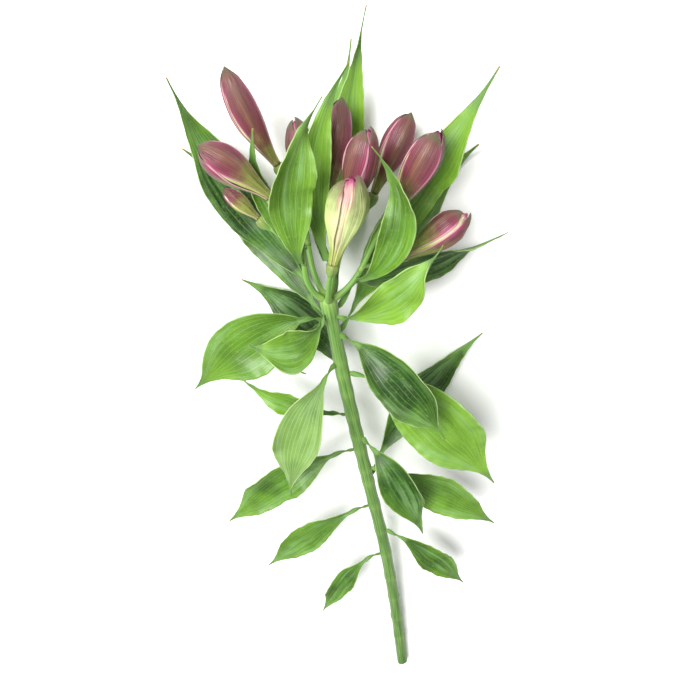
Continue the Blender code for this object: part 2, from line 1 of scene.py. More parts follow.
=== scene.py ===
"""The finished look of a cut alstroemeria stem in bud, laid on a pale table.

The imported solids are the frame: every piece here is grown on the same lines as the solid that it
stands for, from the same driving dimensions, and shows what the plain solid leaves out, such as veins,
waved margins, overlapping tepals, ribbed ovaries and leaf scars. Places are in millimetres from the
umbel's base, the point where the flower rays leave the stem: x to the right, y towards the flowers and
z up, as in the source of the part.
"""

import logging
import math
from bisect import bisect_left
from dataclasses import dataclass
from enum import Enum
from functools import partialmethod
from typing import Callable, Iterable

import bmesh
import bpy
from mathutils import Matrix, Quaternion, Vector, noise

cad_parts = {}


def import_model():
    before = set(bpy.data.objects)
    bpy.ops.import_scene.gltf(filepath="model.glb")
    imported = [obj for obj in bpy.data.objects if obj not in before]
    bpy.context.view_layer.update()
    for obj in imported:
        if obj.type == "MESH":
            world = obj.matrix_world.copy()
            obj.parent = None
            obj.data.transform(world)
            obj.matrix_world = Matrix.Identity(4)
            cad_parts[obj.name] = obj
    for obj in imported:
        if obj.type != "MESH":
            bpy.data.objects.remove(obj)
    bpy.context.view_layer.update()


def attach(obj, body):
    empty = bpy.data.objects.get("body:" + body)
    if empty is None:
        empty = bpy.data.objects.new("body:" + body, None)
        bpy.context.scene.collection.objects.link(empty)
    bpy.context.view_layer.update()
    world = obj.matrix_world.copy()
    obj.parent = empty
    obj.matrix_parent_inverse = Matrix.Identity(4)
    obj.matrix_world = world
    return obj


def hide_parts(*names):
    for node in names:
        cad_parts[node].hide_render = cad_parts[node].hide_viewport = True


log = logging.getLogger("alstroemeria")

Triple = tuple[float, float, float]
Material = bpy.types.Material
Shape = bmesh.types.BMesh
Profile = tuple[tuple[float, float], ...]
GridRule = Callable[[int, int], Vector]

MM = 0.001
UP: Triple = (0.0, 0.0, 1.0)

# Driving dimensions shared with the solids, in millimetres
UMBEL_BASE = Vector((-16.5, 125.0, 42.0))
STEM_RADIUS_AT_CUT = 4.3
STEM_RADIUS_AT_UMBEL = 3.4
NODE_SWELLING = 0.35
SWELLING_REACH = 5.0
UMBEL_RADIUS = 4.4
RAY_RADIUS = 1.45
PEDICEL_RADIUS = 1.15
OVARY_RADIUS = 3.0
OVARY_LENGTH = 7.5
JOINT_GAP = 0.35
STALK_EASE = 0.4
LEAF_STALK = 0.13
BRACT_STALK = 0.05
STALK_TURN = math.pi
STALK_HALF_WIDTH = 1.5
TIP_HALF_WIDTH = 0.4
PATH_STEPS = 80
WHORL_STARTS = -30.0
BLADE_SKEW = 0.85
BLADE_TAPER = 1.2
TIP_STARTS = 0.55
TIP_DRAWN_OUT = 0.55
TABLE_HEIGHT = -UMBEL_BASE.z
LEAF_CLEARANCE = 1.5

STEM_LINE = (
    (56.0, -376.0, -38.1), (53.0, -350.0, -37.0), (46.0, -290.0, -32.0), (35.0, -210.0, -23.5),
    (21.0, -130.0, -13.5), (9.0, -60.0, -5.0), (0.0, 0.0, 0.0),
)
CUT_SLANT = Vector((0.35, -1.0, 0.45))
CUT_SHARE = 0.006
CUT_DISTANCE = 1e-7
MERGE_DISTANCE = 1e-6
LEAF_SCARS = (-244.0, -272.0, -301.0, -331.0)

BUD_PROFILE = (
    (0.0, 0.27), (0.12, 0.40), (0.28, 0.68), (0.44, 0.92), (0.58, 1.0),
    (0.73, 0.93), (0.87, 0.70), (0.95, 0.50), (1.0, 0.36),
)
UMBEL_DOME = ((0.0, 1.0), (0.25, 0.97), (0.45, 0.9), (0.65, 0.77), (0.8, 0.6), (0.95, 0.25), (0.98, 0.0))
OVARY_PROFILE = ((0.0, 0.38), (0.18, 0.62), (0.45, 0.92), (0.75, 1.0), (0.92, 0.9), (1.0, 0.8), (1.04, 0.0))
DOME_PALES = 0.6
MOUTH_STARTS = 0.68
MOUTH_WIDENS = 0.25
BELLY_RISES = 0.5

# How the finished tepals differ from the plain buds, each ring in the order of its three tepals
TEPAL_HALF_ANGLE = 59.0
TEPAL_OVERLAP_LIFT = 0.05
HOOD_LENGTH = 0.13
TIP_BLUNTNESS = 3.0
TIP_CLOSES = 0.88
INNER_TIPS = (0.97, 0.94, 0.96)
OUTER_SHORTER = (0.0, 0.035, 0.02)
GREENER = (0.0, 0.34, 0.08)

# How the finished blades move off the plain ones: shares of the width, and lengths in millimetres
EDGE_SWAY = 0.13
EDGE_SWAY_LENGTH = 26.0
FINE_SWAY = 0.12
FINER_SWAY = 4.0
EDGE_SEED = 1.7
FRILL_LENGTH = 19.0
WAVE_LAG = 2.1
PUCKER_LENGTH = 13.0
PUCKER_WIDTH = 8.0
RIPPLE_LAG = 1.3

GRAIN_ROUGHNESS = 0.55
SKIN_IOR = 1.45


def linear(code: str) -> tuple[float, float, float, float]:
    """Turns an sRGB colour into the linear one that a shader takes.

    Args:
        code: Six hex digits after a hash.

    Returns:
        Red, green, blue and an alpha of one.
    """
    parts = [int(code[i:i + 2], 16) / 255.0 for i in (1, 3, 5)]
    light = [c / 12.92 if c <= 0.04045 else ((c + 0.055) / 1.055) ** 2.4 for c in parts]
    return light[0], light[1], light[2], 1.0


def smooth_step(share: float) -> float:
    """Eases a share from 0 to 1."""
    share = min(max(share, 0.0), 1.0)
    return share * share * (3.0 - 2.0 * share)


def ramp(value: float, start: float, length: float) -> float:
    """Eases a value from 0 at a start to 1 at the end of a length."""
    return smooth_step((value - start) / length)


def bump(distance: float, reach: float) -> float:
    """A soft bump: 1 at no distance, and nearly 0 past twice the reach."""
    return math.exp(-((distance / reach) ** 2))


def profile_at(stations: Profile, share: float) -> float:
    """Reads a smooth curve through a list of (share, value).

    Args:
        stations: The pairs, in order of their shares.
        share: Where to read.

    Returns:
        The value there.
    """
    last = len(stations) - 2
    step = max(i for i in range(last + 1) if stations[i][0] <= share or i == 0)
    start, end = stations[step], stations[step + 1]
    before, after = stations[max(step - 1, 0)], stations[min(step + 2, last + 1)]
    width = end[0] - start[0]
    t = (share - start[0]) / width
    slope_in = (end[1] - before[1]) / (end[0] - before[0]) * width
    slope_out = (after[1] - start[1]) / (after[0] - start[0]) * width
    return (
        (2 * t**3 - 3 * t**2 + 1) * start[1] + (t**3 - 2 * t**2 + t) * slope_in
        + (3 * t**2 - 2 * t**3) * end[1] + (t**3 - t**2) * slope_out
    )


def across(direction: Vector, tangent: Vector) -> Vector:
    """The part of a direction that stands square to a tangent, at unit length."""
    return (direction - direction.dot(tangent) * tangent).normalized()


def near_tip(share: float) -> float:
    """How far into its tip a leaf is at a share of its length, from 0 to 1."""
    return ramp(share, TIP_STARTS, 1.0 - TIP_STARTS)


def blade_outline(share: float) -> float:
    """The share of its full width that a blade has at a share of its own length."""
    swell = math.sin(math.pi * share**BLADE_SKEW) ** BLADE_TAPER if 0.0 < share < 1.0 else 0.0
    return swell * (1.0 - TIP_DRAWN_OUT * near_tip(share))


def in_place(point: Vector) -> Vector:
    """A point in millimetres from the umbel's base, in metres in the part's frame."""
    return (point + UMBEL_BASE) * MM


@dataclass(frozen=True)
class Station:
    """One place on a line: where it is, the way the line runs there, and a direction square to it."""

    point: Vector
    along: Vector
    out: Vector


class Path:
    """A smooth line through space with a steady sideways direction, read by share of its length."""

    def __init__(self, points: list[Vector], facing: Triple = UP) -> None:
        """Measures the line and carries the facing direction along it.

        Args:
            points: Places close together along the line.
            facing: The way that the line's sideways direction points at its middle.
        """
        self.points = points
        self.lengths = [0.0]
        for start, end in zip(points, points[1:]):
            self.lengths.append(self.lengths[-1] + (end - start).length)
        last = len(points) - 1
        self.tangents = [
            (points[min(i + 1, last)] - points[max(i - 1, 0)]).normalized() for i in range(last + 1)
        ]
        middle = len(points) // 2
        self.normals = [Vector() for _ in points]
        self.normals[middle] = across(Vector(facing), self.tangents[middle])
        for order in (range(middle + 1, last + 1), range(middle - 1, -1, -1)):
            normal = self.normals[middle]
            for i in order:
                normal = across(normal, self.tangents[i])
                self.normals[i] = normal

    @classmethod
    def bezier(cls, start: Vector, first: Vector, second: Vector, end: Vector, facing: Triple = UP) -> "Path":
        """Draws a line from four control points.

        Args:
            start: Where the line starts.
            first: The point that it heads for at its start.
            second: The point that it comes from at its end.
            end: Where the line ends.
            facing: The way that its sideways direction points at its middle.

        Returns:
            The line.
        """
        points = []
        for step in range(PATH_STEPS + 1):
            t = step / PATH_STEPS
            points.append(
                (1 - t) ** 3 * start + 3 * (1 - t) ** 2 * t * first
                + 3 * (1 - t) * t**2 * second + t**3 * end
            )
        return cls(points, facing)

    @classmethod
    def through(cls, places: Iterable[Triple]) -> "Path":
        """Draws a smooth line through every place in turn.

        Args:
            places: The places in order.

        Returns:
            The line.
        """
        stations = [Vector(place) for place in places]
        points = [stations[0]]
        for i in range(len(stations) - 1):
            start, end = stations[i], stations[i + 1]
            before, after = stations[max(i - 1, 0)], stations[min(i + 2, len(stations) - 1)]
            reach = (end - start).length / 3.0
            first = start + (end - before).normalized() * reach
            second = end - (after - start).normalized() * reach
            points += cls.bezier(start, first, second, end).points[4::4]
        return cls(points)

    @property
    def length(self) -> float:
        """The whole length in millimetres."""
        return self.lengths[-1]

    def at(self, share: float) -> Station:
        """The place at a share of the length.

        Args:
            share: From 0 at the start to 1 at the end.

        Returns:
            The place with its two directions.
        """
        wanted = min(max(share, 0.0), 1.0) * self.length
        i = min(max(bisect_left(self.lengths, wanted) - 1, 0), len(self.lengths) - 2)
        part = (wanted - self.lengths[i]) / (self.lengths[i + 1] - self.lengths[i])
        point = self.points[i].lerp(self.points[i + 1], part)
        along = self.tangents[i].lerp(self.tangents[i + 1], part).normalized()
        out = across(self.normals[i].lerp(self.normals[i + 1], part), along)
        return Station(point, along, out)

    def share_at_y(self, y: float) -> float:
        """Finds where the line reaches a y.

        Args:
            y: The y in millimetres, which grows along the line.

        Returns:
            The share of the line's length there.

        Raises:
            ValueError: If the line doesn't reach it.
        """
        for i in range(len(self.points) - 1):
            start, end = self.points[i].y, self.points[i + 1].y
            if start <= y <= end:
                part = (y - start) / (end - start)
                return (self.lengths[i] + part * (self.lengths[i + 1] - self.lengths[i])) / self.length
        raise ValueError(f"the line doesn't reach y = {y}")


def add_node(
    tree: bpy.types.NodeTree, kind: str, settings: dict | None = None, inputs: dict | None = None
) -> bpy.types.Node:
    """Adds a node to a material, with its settings and links.

    Args:
        tree: The material's nodes.
        kind: The node's type name.
        settings: The node's own properties by name.
        inputs: What goes into its sockets by name or number: a field, a hex colour or a plain value.

    Returns:
        The new node.
    """
    node = tree.nodes.new(kind)
    for name, value in (settings or {}).items():
        setattr(node, name, value)
    for name, value in (inputs or {}).items():
        if isinstance(value, Field):
            tree.links.new(value.socket, node.inputs[name])
        else:
            node.inputs[name].default_value = linear(value) if isinstance(value, str) else value
    return node


class Field:
    """What a node gives at every point of a piece, for use in formulas."""

    def __init__(self, tree: bpy.types.NodeTree, socket: bpy.types.NodeSocket) -> None:
        """Keeps a node's output."""
        self.tree, self.socket = tree, socket

    def math(self, operation: str, *others: "Field | float") -> "Field":
        """Works on this field and others with a Math node.

        Args:
            operation: The node's operation.
            others: The node's other inputs in order.

        Returns:
            The result.
        """
        values = dict(enumerate((self, *others)))
        node = add_node(self.tree, "ShaderNodeMath", {"operation": operation}, values)
        return Field(self.tree, node.outputs[0])

    __add__ = partialmethod(math, "ADD")
    __sub__ = partialmethod(math, "SUBTRACT")
    __mul__ = partialmethod(math, "MULTIPLY")
    __truediv__ = partialmethod(math, "DIVIDE")
    __pow__ = partialmethod(math, "POWER")
    __abs__ = partialmethod(math, "ABSOLUTE")

    def to_whole(self) -> "Field":
        """How far it is from the nearest whole number."""
        return self.math("PINGPONG", 0.5)

    def kept(self, most: float = 1.0) -> "Field":
        """The field kept between 0 and a limit."""
        return self.math("MINIMUM", most).math("MAXIMUM", 0.0)

    def eased(self, low: float, high: float) -> "Field":
        """Eases the field from 0 to 1.

        Args:
            low: What counts as 0.
            high: What counts as 1, which may be the smaller of the two.

        Returns:
            The eased field.
        """
        limits = {"Value": self, "From Min": low, "From Max": high}
        node = add_node(self.tree, "ShaderNodeMapRange", {"interpolation_type": "SMOOTHSTEP"}, limits)
        return Field(self.tree, node.outputs[0])


class Pigment:
    """A material under construction, which lays colours over each other."""

    def __init__(self, name: str) -> None:
        """Starts an empty material.

        Args:
            name: The material's name.
        """
        self.material = bpy.data.materials.new(name)
        self.material.use_nodes = True
        self.tree = self.material.node_tree
        self.tree.nodes.clear()
        self.places = self.field("ShaderNodeTexCoord", {}, "Object")

    def field(self, kind: str, inputs: dict, output: str | int = 0, **settings: str) -> Field:
        """Adds a node and gives one of its outputs."""
        return Field(self.tree, add_node(self.tree, kind, settings, inputs).outputs[output])

    def read(self, attribute: str) -> list[Field]:
        """Reads one of the piece's vector attributes.

        Args:
            attribute: The attribute's name.

        Returns:
            Its three numbers.
        """
        vector = self.field("ShaderNodeAttribute", {}, "Vector", attribute_name=attribute)
        split = add_node(self.tree, "ShaderNodeSeparateXYZ", inputs={0: vector})
        return [Field(self.tree, output) for output in split.outputs]

    def grain(self, scale: float, detail: float, *place: Field | float) -> Field:
        """Makes uneven noise.

        Args:
            scale: How fine it is.
            detail: How many finer layers it has.
            place: Three numbers to read it at, or nothing for the part's own metres.

        Returns:
            The noise, from 0 to 1.
        """
        vector = self.field("ShaderNodeCombineXYZ", dict(enumerate(place))) if place else self.places
        settings = {"Vector": vector, "Scale": scale, "Detail": detail, "Roughness": GRAIN_ROUGHNESS}
        return self.field("ShaderNodeTexNoise", settings)

    def lay(self, colour: Field | str, *layers: tuple[Field | str, Field | float]) -> Field:
        """Lays colours over a colour in turn.

        Args:
            colour: The lowest colour.
            layers: Each colour over it, with the share that shows.

        Returns:
            The colour that they make.
        """
        for over, share in layers:
            colour = self.field("ShaderNodeMix", {6: colour, 7: over, 0: share}, 2, data_type="RGBA")
        return colour

    def wire(self, surface: Field) -> Material:
        """Makes a shader the material's surface."""
        add_node(self.tree, "ShaderNodeOutputMaterial", inputs={"Surface": surface})
        return self.material

    def finish(
        self, colour: Field, roughness: Field, height: Field, relief: float, gloss: float,
        glow: Field | None = None, glow_share: float = 0.0,
    ) -> Material:
        """Wires the surface up.

        Args:
            colour: The colour by reflected light.
            roughness: The roughness.
            height: The fine relief, from 0 to 1.
            relief: How high that relief is, in millimetres.
            gloss: The specular level of its waxy skin.
            glow: The colour of the light that comes through a thin piece.
            glow_share: How much of the light comes through.

        Returns:
            The finished material.
        """
        normal = self.field("ShaderNodeBump", {"Strength": 1.0, "Distance": relief * MM, "Height": height})
        surface = self.field("ShaderNodeBsdfPrincipled", {
            "IOR": SKIN_IOR, "Specular IOR Level": gloss, "Base Color": colour, "Roughness": roughness,
            "Normal": normal,
        })
        if glow is not None:
            through = self.field("ShaderNodeBsdfTranslucent", {"Color": glow, "Normal": normal})
            surface = self.field("ShaderNodeMixShader", {0: glow_share, 1: surface, 2: through})
        return self.wire(surface)


@dataclass(frozen=True)
class LeafFinish:
    """Living leaf skin: thin and waxy, with parallel veins that show paler where light comes through.

    The blade attribute holds the side from edge to edge, the share of the length and the half width in
    millimetres. The growth attribute holds the veins from midrib to edge, how pale and fresh the leaf
    is for its age, with painted shade on the leaves under and behind the stem and painted backlight on
    the top ones, and how far its tip has yellowed.
    """

    name: str = "waxy leaf face"
    deep: str = "#163210"
    fresh: str = "#3c741a"
    # A pale fresh green, laid for young tissue and also as painted backlight at the blade's rims and tip.
    young_and_backlit: str = "#8fbe3a"
    vein: str = "#b0d070"
    # The colour of the pale rim band: partly the blade's own paler rim, partly a painted highlight.
    pale_margin_highlight: str = "#b8d090"
    stalk: str = "#6c9248"
    tip: str = "#a08048"
    light: str = "#98d032"
    # The colour of the painted sheen: pale grey-green patches that stand for the satin skin's shine.
    painted_sheen: str = "#8fb878"
    roughness: float = 0.36
    gloss: float = 0.7
    vein_width: float = 0.26
    vein_shows: float = 0.34
    glow_share: float = 0.3
    sway_scale: float = 70.0
    mottle_scale: float = 620.0
    patch_scale: float = 38.0
    margin_width: float = 0.32
    tip_starts: float = 0.975
    relief: float = 0.09

    def material(self) -> Material:
        """Builds the leaf's material.

        Returns:
            The material.
        """
        skin = Pigment(self.name)
        side, share, half_width = skin.read("blade")
        veins, youth_and_painted_light, yellowed = skin.read("growth")
        edge = abs(side)
        lane = side * veins + (skin.grain(self.sway_scale, 1.0) * 0.3 - 0.15)
        to_vein = lane.to_whole() * half_width / veins
        streak = skin.grain(1.0, 3.0, lane * 3.2, share * 6.0, veins)
        on_vein = to_vein.eased(self.vein_width, 0.0) * half_width.eased(1.5, 6.0) * streak.eased(0.25, 0.6)
        thread = (lane * 5.0).to_whole().eased(0.5, 0.05)
        mottle = skin.grain(self.mottle_scale, 2.0)
        patch = skin.grain(self.patch_scale, 2.0).eased(0.34, 0.66)
        # Painted sheen: broad pale patches along the blade where the satin skin would catch the light.
        painted_sheen = skin.grain(1.0, 2.0, side * 2.6, share * 2.2, veins).eased(0.46, 0.72)
        # Painted shade and backlight: the fresh green shows by each leaf's tone number, darker on the leaves
        # under and behind the stem, with random patches.
        toned = youth_and_painted_light * 0.8 + patch * 0.7 + 0.08
        # Paler towards the rims and the tip: partly young tissue, partly painted backlight through the thin
        # blade.
        paler = edge**2.5 * 0.3 + youth_and_painted_light * 0.8 + share**3.0 * 0.35 + patch * 0.25 - 0.1
        to_edge = (edge * -1.0 + 1.0) * half_width
        end = share + yellowed * 0.06 - 0.03
        colour = skin.lay(
            self.deep,
            (self.fresh, toned.kept()),
            (self.young_and_backlit, paler.kept(0.9)),
            (self.deep, thread * 0.2 + streak.eased(0.4, 0.75) * 0.35),
            (self.vein, on_vein * self.vein_shows),
            (self.young_and_backlit, mottle.eased(0.55, 0.72) * 0.25),
            # painted sheen patches
            (self.painted_sheen, painted_sheen * 0.46),
            # A pale band along the rim: partly the blade's own paler rim, partly a painted highlight.
            (self.pale_margin_highlight, to_edge.eased(self.margin_width, 0.1) * 0.5),
            (self.stalk, half_width.eased(3.4, 1.9)),
            (self.tip, end.eased(self.tip_starts, 1.0)),
        )
        glow = skin.lay(colour, (self.light, 0.75), (self.vein, on_vein * 0.4))
        height = streak + thread * 0.25 - on_vein * 0.8
        rough = mottle * 0.12 + self.roughness
        return skin.finish(colour, rough, height, self.relief, self.gloss, glow, self.glow_share)


@dataclass(frozen=True)
class StalkFinish:
    """Smooth green stem skin under a thin film of wax, with fine lengthwise streaks.

    The stalk attribute holds the cosine and sine of the angle round the stalk and the place along it in
    millimetres. The growth attribute holds how near a joint is, how brown it is, and on the cut face
    how far out from the middle each point is.
    """

    name: str = "living stem skin"
    dark: str = "#37601f"
    light: str = "#76994f"
    joint: str = "#86a654"
    brown: str = "#7a6a48"
    roughness: float = 0.42
    gloss: float = 0.45
    streaks_round: float = 5.0
    streaks_along: float = 0.035
    fleck_scale: float = 1400.0
    relief: float = 0.12

    def material(self) -> Material:
        """Builds the stalk's material.

        Returns:
            The material.
        """
        skin = Pigment(self.name)
        cosine, sine, along = (
            number * scale for number, scale in
            zip(skin.read("stalk"), (self.streaks_round, self.streaks_round, self.streaks_along))
        )
        near_joint, browned, _ = skin.read("growth")
        streak = skin.grain(1.0, 3.0, cosine, sine, along)
        fleck = skin.grain(self.fleck_scale, 2.0)
        colour = skin.lay(
            self.dark,
            (self.light, streak.eased(0.25, 0.8)),
            (self.light, fleck.eased(0.55, 0.75) * 0.3),
            (self.joint, near_joint * 0.6),
            (self.brown, browned),
        )
        rough = streak * 0.15 + self.roughness
        return skin.finish(colour, rough, fleck * 0.3 + streak, self.relief, self.gloss)


@dataclass(frozen=True)
class PithFinish:
    """The wet cut face of the stem: pale pith dotted with vessels, inside a green rind.

    The last number of the growth attribute is how far each point is from the stem's middle.
    """

    name: str = "cut stem pith"
    pith: str = "#c9d3a0"
    vessel: str = "#8d9a5c"
    rind: str = "#5f8a3e"
    vessel_scale: float = 1500.0
    relief: float = 0.08

    def material(self) -> Material:
        """Builds the cut face's material.

        Returns:
            The material.
        """
        face = Pigment(self.name)
        outwards = face.read("growth")[2]
        cells = {"Vector": face.places, "Scale": self.vessel_scale, "Randomness": 0.8}
        dots = face.field("ShaderNodeTexVoronoi", cells, "Distance")
        colour = face.lay(
            self.pith,
            (self.vessel, dots.eased(0.42, 0.2) * outwards.eased(0.35, 0.8)),
            (self.rind, outwards.eased(0.86, 0.95)),
        )
        return face.finish(colour, dots * 0.2 + 0.3, dots, self.relief, 0.5)


@dataclass(frozen=True)
class TepalFinish:
    """A bud's tepal: satiny and finely veined lengthwise, with its own colours from claw to tip.

    The tepal attribute holds the side from edge to edge, the share of the length and how deep inside
    the bud it lies. The tint attribute holds how far up the green of the claw reaches, how strongly the
    edges blush, and a number that sets each bud's pattern apart.
    """

    name: str = "plum tepal"
    claw: str = "#a0aa58"
    body: str = "#7c4149"
    middle: str = "#86644a"
    edge: str = "#aa426c"
    edge_line: str = "#dcaab2"
    shoulder: str = "#6a4840"
    tip: str = "#5c5a42"
    vein: str = "#3a1620"
    light: str = "#c05070"
    edge_starts: float = 0.3
    shoulder_shows: float = 0.4
    vein_shows: float = 0.8
    blotch_scale: float = 150.0
    blotch: float = 0.36
    lines: float = 8.5
    streaks: float = 17.0
    relief: float = 0.14
    gloss: float = 0.5
    glow_share: float = 0.15

    def material(self) -> Material:
        """Builds the tepal's material.

        Returns:
            The material.
        """
        skin = Pigment(self.name)
        side, share, inside = skin.read("tepal")
        green_reach, blush, seed = skin.read("tint")
        away = abs(side)
        uneven = skin.grain(self.blotch_scale, 2.0) * self.blotch - 0.5 * self.blotch
        upwards = share - green_reach + uneven
        edgewise = away + uneven
        line = (side * self.lines + seed).to_whole().eased(0.2, 0.0)
        streak = skin.grain(1.0, 3.0, side * self.streaks, share * 2.6, seed).eased(0.36, 0.68)
        blushed = edgewise.eased(0.55, 0.98) * share.eased(self.edge_starts, self.edge_starts + 0.35)
        ends = share + away**2.0 * 0.08 + uneven * 0.3
        colour = skin.lay(
            self.body,
            (self.middle, edgewise.eased(0.5, 0.05) * 0.6),
            (self.shoulder, upwards.eased(0.5, 0.85) * self.shoulder_shows),
            (self.edge, blushed * blush),
            (self.claw, upwards.eased(0.42, 0.0)),
            (self.vein, (streak * 0.45 + line * 0.55) * self.vein_shows),
            (self.edge_line, away.eased(0.86, 0.97) * 0.7),
            (self.tip, ends.eased(0.9, 1.01)),
        )
        rough = streak * 0.12 + inside * 0.1 + 0.34
        glow = skin.lay(colour, (self.light, 0.5))
        height = streak * -0.5 - line * 0.6
        return skin.finish(colour, rough, height, self.relief, self.gloss, glow, self.glow_share)


# The face of every leaf and the skin of the stem are the defaults
# The underside's pale sheen patches are painted sheen as well.
LEAF_UNDERSIDE = LeafFinish(
    "bloomed leaf underside", deep="#3a5e28", fresh="#6f944c", young_and_backlit="#94b45c", vein="#b4cc8c",
    pale_margin_highlight="#c8d8a4", tip="#a89264", light="#94c04c", painted_sheen="#a2c088", roughness=0.5, gloss=0.35,
    vein_width=0.3, vein_shows=0.45, glow_share=0.25,
)
FLOWER_STALK_SKIN = StalkFinish("flower stalk skin", "#557f35", "#7fa74e", "#8b9c4c", "#6d5c3e", 0.4)
# The outer tepals of the plum buds are the default; these are the pale bud's, and the inner ones of all
LIME_TEPAL = TepalFinish(
    "lime tepal", claw="#a6b84a", body="#dae8a0", middle="#ccdc84", edge="#b8547c", edge_line="#dfd0a8",
    shoulder="#7f8256", tip="#77604e", vein="#86a350", light="#e6f0a8", edge_starts=0.63,
    shoulder_shows=0.9, vein_shows=0.6,
)
INNER_TEPAL = TepalFinish(
    "inner tepal", claw="#bcc868", body="#e2d4b4", middle="#d4d6a0", edge="#c0487e", edge_line="#d98cac",
    shoulder="#c4558a", tip="#a83a70", vein="#8c5a5c", light="#e8a0b8", edge_starts=0.5,
    shoulder_shows=0.6, vein_shows=0.35,
)


class Slot(Enum):
    """The record's material slots."""

    STEM = "stem"
    RAYS = "rays"
    LEAF = "leaf"
    BRACT = "bract"
    PLUM_BUD = "plum_bud"
    PALE_BUD = "pale_bud"


def add_object(name: str, data: bpy.types.ID) -> bpy.types.Object:
    """Puts a mesh, a lamp or a camera into the scene as an object.

    Args:
        name: The object's name.
        data: What it shows.

    Returns:
        The new object.
    """
    made = bpy.data.objects.new(name, data)
    bpy.context.scene.collection.objects.link(made)
    return made


def new_piece(
    name: str, shape: Shape, materials: Iterable[Material], node: str, slot: Slot
) -> bpy.types.Object:
    """Makes a piece of a shape, which stands for one of the frame's solids.

    Args:
        name: The piece's name.
        shape: Its shape in metres, which is used up.
        materials: Its materials in the order of its faces' numbers.
        node: The solid that it stands for.
        slot: The record's material slot, which is not used.

    Returns:
        The new object.
    """
    mesh = bpy.data.meshes.new(name)
    shape.to_mesh(mesh)
    shape.free()
    mesh.shade_smooth()
    for material in materials:
        mesh.materials.append(material)
    piece = add_object(name, mesh)
    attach(piece, "root")
    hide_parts(node)
    return piece


def add_sheet(
    shape: Shape, columns: int, rows: int, place: GridRule, values: dict[str, GridRule]
) -> list[bmesh.types.BMVert]:
    """Adds a grid to a shape and moves its points by a formula.

    Args:
        shape: The shape that it joins.
        columns: Faces across.
        rows: Faces along.
        place: Gives a point in metres from a column and a row.
        values: Gives each named vector attribute from a column and a row.

    Returns:
        The grid's points.
    """
    vectors = shape.verts.layers.float_vector
    layers = {name: vectors.get(name) or vectors.new(name) for name in values}
    verts = bmesh.ops.create_grid(shape, x_segments=columns, y_segments=rows, size=0.5)["verts"]
    for vert in verts:
        column = round((vert.co.x + 0.5) * columns)
        row = round((vert.co.y + 0.5) * rows)
        for name, value in values.items():
            vert[layers[name]] = value(column, row)
        vert.co = place(column, row)
    return verts


@dataclass
class Ring:
    """One ring of a tube: its place, its radius, how deep its ribs are, and its growth numbers."""

    station: Station
    radius: float
    distance: float
    rib: float = 0.0
    joint: float = 0.0
    brown: float = 0.0


@dataclass
class Tube:
    """A round stalk through a list of rings, closed to a point at both ends."""

    rings: list[Ring]
    columns: int = 24
    ribs: int = 6
    relief: Callable[[Ring, float], float] | None = None

    def add_to(self, shape: Shape) -> None:
        """Adds the tube to a shape.

        Args:
            shape: The shape.
        """
        def place(column: int, row: int) -> Vector:
            """Finds where the skin runs.

            Args:
                column: The grid's column.
                row: The grid's row.

            Returns:
                The point in metres.
            """
            ring = self.rings[row]
            angle = math.tau * column / self.columns
            radius = ring.radius * (1.0 + ring.rib * math.cos(self.ribs * angle))
            radius += self.relief(ring, angle) if self.relief else 0.0
            point = ring.station.point + Quaternion(ring.station.along, angle) @ ring.station.out * radius
            point.z = max(point.z, TABLE_HEIGHT)
            return in_place(point)

        def stalk(column: int, row: int) -> Vector:
            """The angle round the tube, as its cosine and sine, and the place along it."""
            angle = math.tau * column / self.columns
            return Vector((math.cos(angle), math.sin(angle), self.rings[row].distance))

        verts = add_sheet(shape, self.columns, len(self.rings) - 1, place, {
            "stalk": stalk,
            "growth": lambda column, row: Vector((self.rings[row].joint, self.rings[row].brown, 1.0)),
        })
        bmesh.ops.remove_doubles(shape, verts=verts, dist=MERGE_DISTANCE)


